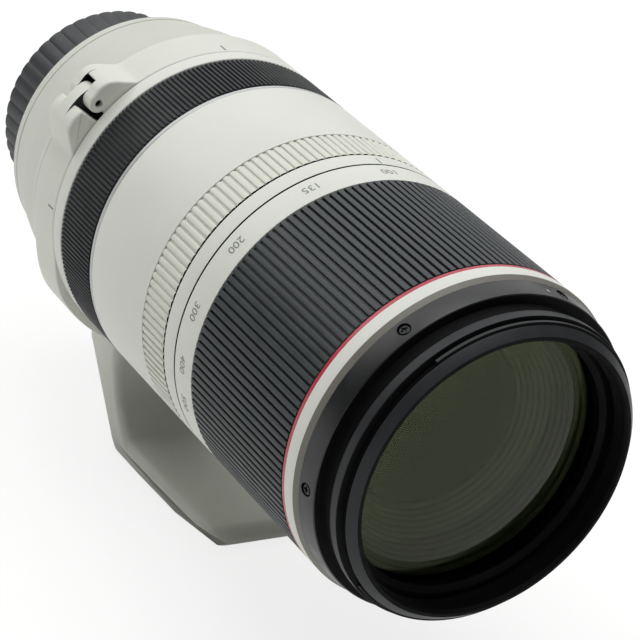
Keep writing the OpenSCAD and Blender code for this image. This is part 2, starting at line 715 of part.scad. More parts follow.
module tension_ring() color(white) lens()
  ribbed(tension_ribs, ring_ri, barrel_r, fine_groove, 0.6, s_tension, s_tension + tension_w);

// The clamp ears lie across a line that is square to the path of the strap's free end
module ear_frame() {
  translate([ear_at, 0, (collar_s0 + collar_s1) / 2]) rotate([0, 0, ear_tilt]) children();
}

// Clears the collar ring on one side of the line between the ears
module past_split(side) {
  ear_frame() translate([-ear_at, side > 0 ? -ear_gap / 2 : ear_gap / 2 - 2 * ear_at, -collar_w])
    cube([2 * ear_at, 2 * ear_at, 2 * collar_w]);
}

module ear(side) {
  ear_frame() translate([-ear_root, side > 0 ? ear_gap / 2 : -ear_gap / 2 - ear_t, -ear_w / 2])
    cube([ear_root + ear_out, ear_t, ear_w]);
}

module ear_bore(r) {
  ear_frame() rotate([90, 0, 0]) translate([0, 0, -20]) cylinder(r = r, h = 40, $fn = fn_small);
}

module hinge_drum(r, s0, s1) {
  translate([hinge_x, hinge_y, s0]) cylinder(r = r, h = s1 - s0, $fn = fn_small);
}

module hinge_lug(points) {
  translate([0, 0, collar_s0 + lug_inset]) linear_extrude(collar_w - 2 * lug_inset) polygon(points);
}

module collar_bore() {
  translate([0, 0, collar_s0 - 20]) cylinder(r = collar_ri, h = collar_w + 40, $fn = fn);
}

module collar_strap() color(white) lens() difference() {
  union() {
    difference() {
      arc_block(-120, hinge_at + 1.2, collar_ri - cut, barrel_r, collar_s0, collar_s1);
      past_split(-1);
    }
    ear(1);
    hinge_lug([polar(collar_ri - cut, hinge_at - 15), polar(barrel_r - cut, hinge_at - 15),
      polar(lug_r - 1, hinge_at - 8), polar(lug_r, hinge_at - 5), polar(lug_r - 0.4, hinge_at - 2.2),
      polar(collar_ri - cut, hinge_at - 2.6)]);
    hinge_drum(knuckle_r, collar_s0 + 2 * lug_inset, collar_s1 - 2 * lug_inset);
  }
  hinge_drum(knuckle_r + 0.6, collar_s0 - cut, knuckle_split + ring_gap / 2);
  hinge_drum(hinge_pin_r + 0.06, collar_s0 - cut, collar_s1 + cut);
  collar_bore();
  ear_bore(lock_screw_r + 0.08);
}

// The lower half of the collar thickens towards the foot
function swell(a) = let (t = min(1, max(0, (180 - abs(180 - a) - swell_at) / swell_over)))
  collar_swell * t * t * (3 - 2 * t);

module lower_half() {
  steps = 96;
  first = hinge_at + 3;
  angles = [for (i = [0 : steps]) first + (collar_end - first) * i / steps];
  outer = [for (a = angles) polar(barrel_r + swell(a), a)];
  inner = [for (i = [steps : -1 : 0]) polar(collar_ri - cut, angles[i])];
  translate([0, 0, collar_s0]) linear_extrude(collar_w) polygon(concat(outer, inner));
}

module collar_foot() color(white) lens() difference() {
  union() {
    difference() {
      lower_half();
      past_split(1);
    }
    ear(-1);
    hinge_lug([polar(collar_ri - cut, hinge_at + 20.5), polar(barrel_r - cut, hinge_at + 20.5),
      polar(lug_r - 0.9, hinge_at + 12.6), polar(lug_r, hinge_at + 7), polar(lug_r - 0.6, hinge_at + 2.2),
      polar(collar_ri - cut, hinge_at + 3.2)]);
    hinge_drum(knuckle_r, collar_s0 + 2 * lug_inset, collar_s1 - 2 * lug_inset);
    foot();
  }
  hinge_drum(knuckle_r + 0.6, knuckle_split - ring_gap / 2, collar_s1 + cut);
  hinge_drum(hinge_pin_r, collar_s0 - cut, collar_s1 + cut);
  collar_bore();
  ear_bore(lock_screw_r + 0.5);
  translate([0, -foot_h - cut, tripod_s]) rotate([-90, 0, 0])
    cylinder(r = bush_r, h = sole_t - bush_cover + cut, $fn = fn_small);
}

// The foot's side view, cut to the rounded plan of the sole
module foot() {
  arm_s = collar_s0 - 6;
  top = barrel_r + 0.6;
  heel = foot_h - top;
  reach = heel - sole_t;
  sweep = [[-3, 0.08], [-1.4, 0.29], [1.9, 0.54], [5.9, 0.735], [10.4, 0.89], [13.6, 0.975], [16, 1]];
  side = concat([[collar_s0, -collar_ri - 0.5], [collar_s1 + sweep[0][0], -collar_ri - 0.5]],
    [for (p = sweep) [collar_s1 + p[0], -top - reach * p[1]]],
    [[foot_front - 2.5, -foot_h + sole_t], [foot_front, -foot_h + sole_t - 2.2], [foot_front, -foot_h + 1.2],
    [foot_front - 1.2, -foot_h], [arm_s + heel * 0.88, -foot_h], [arm_s + heel * 0.8, -foot_h + 1.6],
    [arm_s, -top - 5], [arm_s, -top - 2], [arm_s + 1.5, -top], [collar_s0, -top]]);
  wide = foot_w / 2 + max(foot_flare, arm_flare) + 1;
  intersection() {
    rotate([0, -90, 0]) translate([0, 0, -wide]) linear_extrude(2 * wide) polygon(side);
    foot_plan(arm_s + heel * 0.5, arm_s + heel * 1.08);
  }
}

// The plan of the foot: rounded in front, widest at the heel and narrower again at the arm
module foot_plan(arm_end, heel_s) {
  half = foot_w / 2;
  c = sole_corner;
  corner = [for (i = [0 : 8]) [half - c + c * sin(i * 90 / 8), foot_front - c + c * cos(i * 90 / 8)]];
  edge = concat(corner, [[half + foot_flare, heel_s], [half + arm_flare, arm_end], [half + arm_flare, 0]]);
  plan = concat(edge, [for (i = [len(edge) - 1 : -1 : 0]) [-edge[i][0], edge[i][1]]]);
  rotate([90, 0, 0]) linear_extrude(foot_h + cut) polygon(plan);
}

module tripod_bush() color(steel) lens() translate([0, -foot_h, tripod_s]) rotate([-90, 0, 0]) difference() {
  cylinder(r = bush_r, h = sole_t - bush_cover, $fn = fn_small);
  translate([0, 0, -cut]) cylinder(r = tripod_r, h = sole_t - bush_cover + 2 * cut, $fn = fn_small);
}

module hinge_pin() color(steel) lens() hinge_drum(hinge_pin_r, collar_s0 + 3 * lug_inset, collar_s1 - 1.6);

module lock_knob() color(black) lens() ear_frame() rotate([-90, 0, 0]) {
  low = ear_gap / 2 + ear_t + 0.3;
  points = [for (i = [0 : 4 * knob_lobes - 1]) polar(knob_r - (i % 4 < 2 ? 0 : 0.7), i * 90 / knob_lobes)];
  translate([0, 0, low]) linear_extrude(knob_h) polygon(points);
  translate([0, 0, -screw_reach]) cylinder(r = lock_screw_r, h = low + screw_reach + 1, $fn = fn_small);
}

module rear_cap() color(black) lens() {
  difference() {
    translate([0, 0, -cap_len - cap_gap]) linear_extrude(cap_len) polygon([for (i = [0 : 4 * cap_teeth - 1])
      polar(cap_r - (i % 4 < 2 ? 0 : 0.9), i * 90 / cap_teeth)]);
    translate([0, 0, -cap_len - cap_gap + cap_wall]) cylinder(r = cap_ri, h = cap_len, $fn = fn);
  }
  spokes(3, 0) arc_block(-lug_angle / 2, lug_angle / 2, bayonet_r + cap_gap, cap_ri + 0.3,
    cap_hook_s, cap_hook_s + 2.4);
}

rear_housing();
middle_barrel();
stop_ring();
trim_ring();
index_ring();
guide_barrel();
guide_lock_ring();
rear_lens_frame();
rear_glass();
focus_rods();
focus_motor();
circuit_board();
mount_plate();
mount_screws();
mount_seal();
contact_block();
contact_pins();
switch_panel();
zoom_ring();
zoom_grip();
drive_sleeve();
cam_barrel();
zoom_keys();
dust_seal();
front_tube();
front_band();
accent_ring();
front_bezel();
bezel_screws();
front_cell();
front_glass();
second_glass();
retaining_ring();
cam_followers();
light_baffle();
zoom_carriage();
carriage_followers();
carriage_glass();
iris_housing();
iris_blades();
yaw_frame();
pitch_frame();
stabiliser_glass();
focus_cell();
focus_glass();
focus_ring();
tension_ring();
collar_foot();
tripod_bush();
hinge_pin();
collar_strap();
lock_knob();
rear_cap();
slider(0);  // focus_mode_switch
slider(1);  // focus_limit_switch
slider(2);  // stabiliser_switch
slider(3);  // stabiliser_mode_switch
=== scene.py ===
import math

import bmesh
import bpy
from mathutils import Matrix, Vector


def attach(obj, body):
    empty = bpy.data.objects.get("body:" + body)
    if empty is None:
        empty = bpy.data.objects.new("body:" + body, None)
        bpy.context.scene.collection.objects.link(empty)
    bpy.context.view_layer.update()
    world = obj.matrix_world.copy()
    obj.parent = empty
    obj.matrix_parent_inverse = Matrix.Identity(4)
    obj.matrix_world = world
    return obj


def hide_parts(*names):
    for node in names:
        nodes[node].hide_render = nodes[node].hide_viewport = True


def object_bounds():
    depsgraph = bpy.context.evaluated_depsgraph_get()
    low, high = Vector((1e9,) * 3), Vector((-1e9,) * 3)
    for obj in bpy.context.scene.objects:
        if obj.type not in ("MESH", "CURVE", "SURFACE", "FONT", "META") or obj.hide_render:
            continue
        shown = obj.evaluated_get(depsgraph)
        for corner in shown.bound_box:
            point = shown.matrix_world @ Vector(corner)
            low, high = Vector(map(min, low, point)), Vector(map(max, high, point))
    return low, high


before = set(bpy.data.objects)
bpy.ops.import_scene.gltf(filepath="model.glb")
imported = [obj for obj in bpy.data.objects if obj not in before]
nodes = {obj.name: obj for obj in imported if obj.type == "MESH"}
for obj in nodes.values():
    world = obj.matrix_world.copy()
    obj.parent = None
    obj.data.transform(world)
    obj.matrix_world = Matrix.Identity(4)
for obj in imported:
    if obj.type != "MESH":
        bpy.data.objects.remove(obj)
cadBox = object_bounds()
mm = 0.001  # sizes are in millimetres; the camera, the floor and the light are in metres
hair = 0.01  # a small step, for tests on where a face lies
print("frame loaded:", len(nodes), "nodes")


# colours are written as sRGB hex and turned to linear here
def linear(code):
    parts = [int(code[i:i + 2], 16) / 255 for i in (1, 3, 5)]
    return [p / 12.92 if p <= 0.04045 else ((p + 0.055) / 1.055) ** 2.4 for p in parts] + [1.0]


def addNode(tree, kind, values=None, links=None, **settings):
    node = tree.nodes.new(kind)
    for key, value in settings.items():
        setattr(node, key, value)
    for key, value in (values or {}).items():
        node.inputs[key].default_value = value
    for key, source in (links or {}).items():
        tree.links.new(source, node.inputs[key])
    return node


# the finishes; grain and cloud are the sizes of the surface pattern in millimetres
# the real grain is finer than a pixel, so it is drawn as coarse as it needs to show
finishes = {
    # baked satin lacquer on a cast barrel: even, faintly grainy, soft wide highlights
    "satinLacquer": dict(tones=("#CED0C8", "#D5D7CF"), rough=(0.42, 0.52), grain=0.35, cloud=14, bump=0.10),
    # the same lacquer on the rear housing, a shade greyer: painted shade, as the light falls off on the flare
    "housingLacquerInPaintedShade": dict(tones=("#BDBFB6", "#C5C7BE"), rough=(0.42, 0.52), grain=0.35, cloud=14, bump=0.10),
    # the same lacquer on the ring with the fine ribs, a little drier
    "ribLacquer": dict(tones=("#CCCDC2", "#D3D4CA"), rough=(0.45, 0.56), grain=0.35, cloud=9, bump=0.10),
    # lacquer on the sand-cast collar and foot, a little coarser
    "castLacquer": dict(tones=("#CBCDC4", "#D3D5CC"), rough=(0.44, 0.56), grain=0.5, cloud=11, bump=0.16),
    # moulded nitrile rubber: dark grey, dry, with a dusty bloom
    "nitrileRubber": dict(tones=("#1E2224", "#3C4244"), rough=(0.46, 0.58), grain=0.4, cloud=6, bump=0.45),
    # hard moulded rubber of the narrow ring: near black, with a low sheen
    "ebonite": dict(tones=("#16191B", "#1D2123"), rough=(0.42, 0.55), grain=0.25, cloud=6, bump=0.15,
                    specular=0.35),
    # black anodised aluminium, bead blasted: satin sheen
    "anodisedAluminium": dict(tones=("#121314", "#191A1B"), rough=(0.30, 0.38), grain=0.2, cloud=5,
                              bump=0.06),
    # matt black lacquer on faces that must not throw light into the glass; the same dull black is painted
    # shade in gaps, grooves, sinks and the hinge pocket
    "mattBlackAndPaintedShade": dict(tones=("#050505", "#080808"), rough=(0.55, 0.7), grain=0.2, cloud=4, bump=0.06,
                             specular=0.1),
    # black anodised aluminium painted a lighter grey: painted sheen on the front rim and the top of the
    # bayonet, painted shade inside the collar joint; a softer shine
    "paintedGreySheenAndShade": dict(tones=("#222527", "#2A2D2F"), rough=(0.40, 0.50), grain=0.2, cloud=5, bump=0.06,
                            specular=0.25),
    # dead black lacquer on the edges of lenses, seen from inside the glass: no shine at all
    "lensEdgeLacquer": dict(tones=("#040404", "#070707"), rough=(0.7, 0.8), grain=0.2, cloud=4, bump=0.05,
                            specular=0.0),
    # grey lacquer on the chamfer in front of the white band, even and dull: partly the ring's own grey,
    # partly painted shade on a face that turns forward
    "greyChamferAndPaintedShade": dict(tones=("#6A685F", "#757369"), rough=(0.45, 0.55), grain=0.3, cloud=6, bump=0.08),
    # turned baffle, blackened: dull olive rings, lighter than the real ones because little light gets there
    "blackenedBaffle": dict(tones=("#55584C", "#5E6155"), rough=(0.36, 0.40), grain=0.1, cloud=8, bump=0.0,
                            specular=0.4),
    # moulded ABS: blue-black, slightly shiny, with fine spark-eroded grain
    "mouldedAbs": dict(tones=("#1D2123", "#25292B"), rough=(0.44, 0.56), grain=0.4, cloud=7, bump=0.2),
    # red enamel fill of the narrow line: deep, smooth, half shiny
    "redEnamel": dict(tones=("#A82C3E", "#B93A4B"), rough=(0.25, 0.35), grain=0.3, cloud=5, bump=0.05),
    # aluminium of the trim line, blasted and sealed: pale and soft rather than mirror-like
    "satinAluminium": dict(tones=("#B4B6B6", "#BFC1C1"), rough=(0.40, 0.50), grain=0.25, cloud=4, bump=0.05,
                           metal=0.3),
    # clear anodised aluminium of the sleeves inside: light grey metal with soft highlights
    "turnedAluminium": dict(tones=("#8B8E90", "#9DA0A2"), rough=(0.28, 0.40), grain=0.3, cloud=6, bump=0.05,
                            metal=1.0),
    # stainless steel of pins, rods and screws, ground: grey metal with clear highlights
    "stainlessSteel": dict(tones=("#8E9193", "#A5A8AA"), rough=(0.22, 0.34), grain=0.2, cloud=3, bump=0.05,
                           metal=1.0),
    # chromed brass of the bayonet: bright, close to a mirror
    "chromedBrass": dict(tones=("#B4B7B9", "#C4C7C9"), rough=(0.12, 0.2), grain=0.3, cloud=8, bump=0.03,
                         metal=1.0),
    # bare brass of followers and contacts: dull gold
    "brass": dict(tones=("#A88B4C", "#B99B5A"), rough=(0.24, 0.36), grain=0.25, cloud=4, bump=0.05,
                  metal=1.0),
    # burnished steel of the black screws: dark, with small bright highlights; also on the hinge pin, as
    # painted shade in its hole
    "blackSteelAndPaintedShade": dict(tones=("#17181A", "#222426"), rough=(0.28, 0.4), grain=0.15, cloud=2, bump=0.06,
                       metal=0.6),
    # glass epoxy board under green resist: even green, half shiny
    "boardResist": dict(tones=("#1F4A33", "#2A5B41"), rough=(0.3, 0.42), grain=0.6, cloud=4, bump=0.12),
    # soft foam and rubber seals: dark and dead
    "sealRubber": dict(tones=("#17191A", "#1F2122"), rough=(0.6, 0.75), grain=0.3, cloud=4, bump=0.2),
    # moulded plastic plate that holds the switches: light grey, finely grained
    "panelPlastic": dict(tones=("#C2C4BE", "#CACCC6"), rough=(0.46, 0.56), grain=0.3, cloud=8, bump=0.12),
    # screen printed ink: flat, with no shine
    "greyInk": dict(tones=("#6E7170", "#7C7F7E"), rough=(0.5, 0.6), grain=0.2, cloud=3, bump=0.05),
    "whiteInk": dict(tones=("#C9C9C4", "#D5D5D0"), rough=(0.5, 0.6), grain=0.2, cloud=3, bump=0.05),
}
# how the noise of a finish becomes colour, sheen and relief
noise = {"cloudDetail": 3.0, "grainDetail": 2.0, "lift": 0.35, "dark": 0.40, "light": 0.85, "calm": 0.3,
         "lively": 0.7, "depth": 0.1}


def newMaterial(name):
    material = bpy.data.materials.new(name)
    material.use_nodes = True
    return material, material.node_tree, material.node_tree.nodes["Principled BSDF"]


def makeFinish(name, tones, rough, grain, cloud, bump, metal=0.0, specular=0.5):
    material, tree, shader = newMaterial(name)
    shader.inputs["Metallic"].default_value = metal
    if metal == 0:
        shader.inputs["Specular IOR Level"].default_value = specular
    place = addNode(tree, "ShaderNodeTexCoord").outputs["Object"]
    clouds = addNode(tree, "ShaderNodeTexNoise",
                     {"Scale": 1 / (cloud * mm), "Detail": noise["cloudDetail"]}, {"Vector": place})
    fine = addNode(tree, "ShaderNodeTexNoise",
                   {"Scale": 1 / (grain * mm), "Detail": noise["grainDetail"]}, {"Vector": place})
    mixed = addNode(tree, "ShaderNodeMath", {2: noise["lift"]},
                    {0: fine.outputs["Fac"], 1: clouds.outputs["Fac"]}, operation="MULTIPLY_ADD")
    colour = addNode(tree, "ShaderNodeValToRGB", links={"Fac": mixed.outputs["Value"]})
    for k, stop in enumerate(("dark", "light")):
        colour.color_ramp.elements[k].position = noise[stop]
        colour.color_ramp.elements[k].color = linear(tones[k])
    sheen = addNode(tree, "ShaderNodeMapRange", {"From Min": noise["calm"], "From Max": noise["lively"],
                                                 "To Min": rough[0], "To Max": rough[1]},
                    {"Value": clouds.outputs["Fac"]})
    relief = addNode(tree, "ShaderNodeBump", {"Strength": bump, "Distance": noise["depth"] * grain * mm},
                     {"Height": fine.outputs["Fac"]})
    tree.links.new(colour.outputs["Color"], shader.inputs["Base Color"])
    tree.links.new(sheen.outputs["Result"], shader.inputs["Roughness"])
    tree.links.new(relief.outputs["Normal"], shader.inputs["Normal"])
    return material


# optical glass with a multi-layer coating: clear, faintly olive, a weak reflection and a trace of dust
glasses = {
    # tint, reflection and index; the index is that of the outer coat, which reflects less than bare glass
    "coatedGlass": ("#DCE3C8", "#20241A", 1.38),
    "clearGlass": ("#F4F6EE", "#20241A", 1.38),
    # the deep lenses are tinted near black as painted shade, because the barrel behind them is black
    "deepGlass": ("#181A13", "#5A5B4C", 1.55),
}
dust = {"size": 6, "detail": 4.0, "low": 0.55, "high": 0.8, "haze": 0.006}


def makeGlass(name, tint, reflection, index):
    material, tree, shader = newMaterial(name)
    shader.inputs["Base Color"].default_value = linear(tint)
    shader.inputs["Specular Tint"].default_value = linear(reflection)
    shader.inputs["Transmission Weight"].default_value = 1.0
    shader.inputs["IOR"].default_value = index
    place = addNode(tree, "ShaderNodeTexCoord").outputs["Object"]
    specks = addNode(tree, "ShaderNodeTexNoise",
                     {"Scale": 1 / (dust["size"] * mm), "Detail": dust["detail"]}, {"Vector": place})
    haze = addNode(tree, "ShaderNodeMapRange", {"From Min": dust["low"], "From Max": dust["high"],
                                                "To Min": 0.0, "To Max": dust["haze"]},
                   {"Value": specks.outputs["Fac"]})
    tree.links.new(haze.outputs["Result"], shader.inputs["Roughness"])
    return material


paint = {name: makeFinish(name, **look) for name, look in finishes.items()}
for name, look in glasses.items():
    paint[name] = makeGlass(name, *look)
print("finishes made:", len(paint))


def newObject(name, data):
    piece = bpy.data.objects.new(name, data)
    bpy.context.scene.collection.objects.link(piece)
    return piece


def fromShape(name, shape):
    mesh = bpy.data.meshes.new(name)
    shape.to_mesh(mesh)
    shape.free()
    return newObject(name, mesh)


def settle(piece, angle=32):
    piece.data.shade_smooth()
    for face in piece.data.polygons:
        face.use_smooth = len(face.vertices) < 7  # flat ends stay flat
    piece.data.set_sharp_from_angle(angle=math.radians(angle))
    return piece


def dress(piece, body, finish, replaced=()):
    piece.data.materials.clear()
    piece.data.materials.append(paint[finish])
    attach(piece, body)
    if replaced:
        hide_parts(*replaced)
    return piece


# gives the faces that pass the test, by distance from the axis, place along it and angle, another finish
def repaint(piece, finish, test):
    piece.data.materials.append(paint[finish])
    index = len(piece.data.materials) - 1
    for face in piece.data.polygons:
        at = face.center
        if test(math.hypot(at.x, at.z) / mm, -at.y / mm, math.degrees(math.atan2(-at.x, at.z))):
            face.material_index = index


# a point on the barrel: angle from the top towards -X, distance along the axis from the flange
def onBarrel(radius, angle, along):
    turn = math.radians(angle)
    return Vector((-radius * math.sin(turn), -along, radius * math.cos(turn))) * mm


# rounds the corners of a closed outline of (across, along, corner, draw)
def rounded(outline, steps=4):
    points = []
    count = len(outline)
    for i, corner in enumerate(outline):
        here = Vector(corner[:2])
        bend = corner[2] if len(corner) > 2 else 0
        draw = corner[3] if len(corner) > 3 else 0
        before = Vector(outline[i - 1][:2]) - here
        after = Vector(outline[(i + 1) % count][:2]) - here
        angle = before.angle(after) if before.length and after.length else math.pi
        if bend <= 0 or angle > math.radians(177.5):  # nearly straight
            points.append(Vector((here.x, here.y, draw)))
            continue
        reach = min(bend / math.tan(angle / 2), 0.49 * before.length, 0.49 * after.length)
        first = here + before.normalized() * reach
        last = here + after.normalized() * reach
        for k in range(steps + 1):
            t = k / steps
            point = first * (1 - t) ** 2 + here * 2 * t * (1 - t) + last * t ** 2
            points.append(Vector((point.x, point.y, draw)))
    return points


# faces between two closed rings of points
def skin(shape, near, far):
    for k in range(len(near)):
        m = (k + 1) % len(near)
        shape.faces.new((near[k], near[m], far[m], far[k]))


# spins an outline about the optical axis, all the way round or from one angle to another
def turned(name, outline, steps=288, span=None, corners=4):
    points = rounded(outline, corners)
    shape = bmesh.new()
    first, last = span or (0, 360)
    rows = steps if span is None else max(2, round(steps * (last - first) / 360)) + 1
    rings = []
    for i in range(rows):
        angle = first + (last - first) * i / (rows if span is None else rows - 1)
        rings.append([shape.verts.new(onBarrel(p.x, angle, p.y)) for p in points])
    for i in range(rows if span is None else rows - 1):
        skin(shape, rings[i], rings[(i + 1) % rows])
    if span is not None:
        shape.faces.new(rings[0])
        shape.faces.new(list(reversed(rings[-1])))
    bmesh.ops.remove_doubles(shape, verts=shape.verts, dist=1e-7)
    bmesh.ops.recalc_face_normals(shape, faces=shape.faces)
    return settle(fromShape(name, shape))


# stations of a stacked shape: place along it and how far the outline is drawn in there
def roundedEnds(first, last, reachFirst, reachLast, steps=5):
    ends = []
    for start, reach, way in ((first, reachFirst, 1), (last, reachLast, -1)):
        if reach <= 0:
            ends.append([(start, 0.0)])
            continue
        turns = [math.pi / 2 * k / steps for k in range(steps + 1)]
        ends.append([(start + way * reach * (1 - math.cos(a)), 1 - math.sin(a)) for a in turns])
    return ends[0] + ends[1][::-1]


# stacks copies of a closed outline, each drawn in by its station's share
def stacked(name, outline, stations, place, corners=4):
    points = rounded(outline, corners)
    count = len(points)
    area = sum(points[i - 1].x * points[i].y - points[i].x * points[i - 1].y for i in range(count))
    inward = []
    for i in range(count):
        before = (points[i] - points[i - 1]).to_2d().normalized()
        after = (points[(i + 1) % count] - points[i]).to_2d().normalized()
        way = (before + after).normalized()
        lean = math.sqrt(max(0.3, (1 + before.dot(after)) / 2))  # limited at sharp corners
        inward.append(Vector((-way.y, way.x)) * (math.copysign(1, area) * points[i].z / lean))
    shape = bmesh.new()
    rings = [[shape.verts.new(place(q.x + d.x * share, q.y + d.y * share, at) * mm)
              for q, d in zip(points, inward)] for at, share in stations]
    for near, far in zip(rings, rings[1:]):
        skin(shape, near, far)
    shape.faces.new(rings[0])
    shape.faces.new(rings[-1])
    bmesh.ops.recalc_face_normals(shape, faces=shape.faces)
    piece = settle(fromShape(name, shape))
    for face in piece.data.polygons[-2:]:
        face.use_smooth = False
    return piece


# a round tool for cutting: from one point to another
def rod(start, end, radius, sides=40):
    start, end = Vector(start), Vector(end)
    way = end - start
    shape = bmesh.new()
    bmesh.ops.create_cone(shape, cap_ends=True, segments=sides, radius1=radius, radius2=radius,
                          depth=way.length)
    turn = way.to_track_quat("Z", "Y").to_matrix().to_4x4()
    bmesh.ops.transform(shape, matrix=Matrix.Translation((start + end) / 2) @ turn, verts=shape.verts)
    return settle(fromShape("rod", shape))


def finalMesh(piece):
    layers = bpy.context.evaluated_depsgraph_get()
    return bpy.data.meshes.new_from_object(piece.evaluated_get(layers), depsgraph=layers)


# turns what the modifiers give into a plain mesh
def applied(piece):
    mesh = finalMesh(piece)
    piece.modifiers.clear()
    piece.data = mesh
    return piece


def cutAway(piece, tools):
    for tool in tools:
        cut = piece.modifiers.new("cut", "BOOLEAN")
        cut.operation = "DIFFERENCE"
        cut.solver = "EXACT"
        cut.object = tool
    applied(piece)
    for tool in tools:
        bpy.data.objects.remove(tool)
    return piece


# a copy of a solid with its triangles joined and its edges eased
def eased(name, node, width, segments=2, angle=28):
    shape = bmesh.new()
    shape.from_mesh(nodes[node].data)
    bmesh.ops.remove_doubles(shape, verts=shape.verts, dist=1e-6)
    bmesh.ops.dissolve_limit(shape, angle_limit=math.radians(0.6), verts=shape.verts, edges=shape.edges)
    piece = fromShape(name, shape)
    bevel = piece.modifiers.new("ease", "BEVEL")
    bevel.width = width * mm
    bevel.segments = segments
    bevel.limit_method = "ANGLE"
    bevel.angle_limit = math.radians(angle)
    bevel.use_clamp_overlap = True
    bevel.miter_outer = "MITER_ARC"
    return settle(applied(piece))


# a Geometry Nodes tree with its named inputs
def newTree(name, inputs):
    tree = bpy.data.node_groups.new(name, "GeometryNodeTree")
    for label, kind in inputs.items():
        tree.interface.new_socket(label, in_out="INPUT", socket_type="NodeSocket" + kind)
    tree.interface.new_socket("Pieces", in_out="OUTPUT", socket_type="NodeSocketGeometry")
    return tree


# the end of a tree: copies of one item round the optical axis, made real and given their finish
def spreadRound(tree, given, item, step):
    stack = addNode(tree, "GeometryNodeMeshLine", {"Offset": (0, 0, 0)}, {"Count": given["Count"]})
    order = addNode(tree, "GeometryNodeInputIndex")
    angle = addNode(tree, "ShaderNodeMath", links={0: order.outputs[0], 1: step, 2: given["First"]},
                    operation="MULTIPLY_ADD")
    around = addNode(tree, "ShaderNodeCombineXYZ", links={"Y": angle.outputs[0]})
    turn = addNode(tree, "FunctionNodeEulerToRotation", links={0: around.outputs[0]})
    spread = addNode(tree, "GeometryNodeInstanceOnPoints",
                     links={"Points": stack.outputs[0], "Instance": item, "Rotation": turn.outputs[0]})
    real = addNode(tree, "GeometryNodeRealizeInstances", links={0: spread.outputs[0]})
    finish = addNode(tree, "GeometryNodeSetMaterial",
                     links={"Geometry": real.outputs[0], "Material": given["Finish"]})
    addNode(tree, "NodeGroupOutput", links={0: finish.outputs[0]})


# bars with rounded edges, spread evenly
def ribTree():
    tree = newTree("ribsRoundAxis", {"Count": "Int", "Top": "Float", "Height": "Float", "Width": "Float",
                                     "Corner": "Float", "Steps": "Int", "Flat": "Float", "Start": "Float",
                                     "End": "Float", "First": "Float", "Finish": "Material"})
    given = addNode(tree, "NodeGroupInput").outputs
    half = addNode(tree, "ShaderNodeMath", {1: -0.5}, {0: given["Height"], 2: given["Top"]},
                   operation="MULTIPLY_ADD")
    ends = []
    for label in ("Start", "End"):
        back = addNode(tree, "ShaderNodeMath", {1: -1.0}, {0: given[label]}, operation="MULTIPLY")
        end = addNode(tree, "ShaderNodeCombineXYZ", links={"Y": back.outputs[0], "Z": half.outputs[0]})
        ends.append(end.outputs[0])
    line = addNode(tree, "GeometryNodeCurvePrimitiveLine", links={"Start": ends[0], "End": ends[1]})
    tall = addNode(tree, "ShaderNodeMath", links={0: given["Height"], 1: given["Flat"]}, operation="DIVIDE")
    section = addNode(tree, "GeometryNodeCurvePrimitiveQuadrilateral",
                      links={"Width": given["Width"], "Height": tall.outputs[0]})
    soft = addNode(tree, "GeometryNodeFilletCurve", links={"Curve": section.outputs[0],
                                                          "Radius": given["Corner"],
                                                          "Count": given["Steps"]}, mode="POLY")
    press = addNode(tree, "ShaderNodeCombineXYZ", {"X": 1.0, "Z": 1.0}, {"Y": given["Flat"]})
    flat = addNode(tree, "GeometryNodeTransform",
                   links={"Geometry": soft.outputs[0], "Scale": press.outputs[0]})
    bar = addNode(tree, "GeometryNodeCurveToMesh", {"Fill Caps": True},
                  {"Curve": line.outputs[0], "Profile Curve": flat.outputs[0]})
    pitch = addNode(tree, "ShaderNodeMath", {0: 2 * math.pi}, {1: given["Count"]}, operation="DIVIDE")
    spreadRound(tree, given, bar.outputs[0], pitch.outputs[0])
    return tree


# copies of another object, a step apart
def itemTree():
    tree = newTree("itemsRoundAxis", {"Item": "Object", "Count": "Int", "Step": "Float", "First": "Float",
                                      "Finish": "Material"})
    given = addNode(tree, "NodeGroupInput").outputs
    item = addNode(tree, "GeometryNodeObjectInfo", links={"Object": given["Item"]})
    spreadRound(tree, given, item.outputs["Geometry"], given["Step"])
    return tree


ribsRoundAxis = ribTree()
itemsRoundAxis = itemTree()


def fromTree(name, tree, **sizes):
    piece = newObject(name, bpy.data.meshes.new(name))
    maker = piece.modifiers.new("maker", "NODES")
    maker.node_group = tree
    known = {s.name: s.identifier for s in tree.interface.items_tree if s.in_out == "INPUT"}
    for label, value in sizes.items():
        maker[known[label]] = value
    return settle(applied(piece))


def ribs(name, look, finish):
    lengths = ("top", "height", "width", "corner", "start", "end")
    return fromTree(name, ribsRoundAxis, Count=look["count"], Steps=look.get("steps", 3),
                    Flat=look.get("flat", 1.0), Finish=paint[finish],
                    **{label.capitalize(): look[label] * mm for label in lengths})


# bends a flat shape round the barrel: x runs towards -X, y to the front, z outwards
def wrapped(name, shape, radius, angle, along, strip=0.5):
    wide = max(abs(v.co.x) for v in shape.verts)
    steps = int(wide / strip) + 1
    for k in range(-steps, steps + 1):
        everything = shape.verts[:] + shape.edges[:] + shape.faces[:]
        bmesh.ops.bisect_plane(shape, geom=everything, plane_co=(k * strip, 0, 0), plane_no=(1, 0, 0))
    for v in shape.verts:
        v.co = onBarrel(radius + v.co.z, angle + math.degrees(v.co.x / radius), along + v.co.y)
    bmesh.ops.recalc_face_normals(shape, faces=shape.faces)
    return fromShape(name, shape)


def plate(wide, tall, thick):
    shape = bmesh.new()
    bmesh.ops.create_cube(shape, size=1)
    bmesh.ops.scale(shape, vec=(wide, tall, thick), verts=shape.verts)
    return shape


# a printed line along the barrel
def inkLine(name, look, body, ink):
    shape = plate(look["wide"], look["tall"], look["thick"])
    dress(wrapped(name, shape, look["radius"], look["angle"], look["along"]), body, ink)


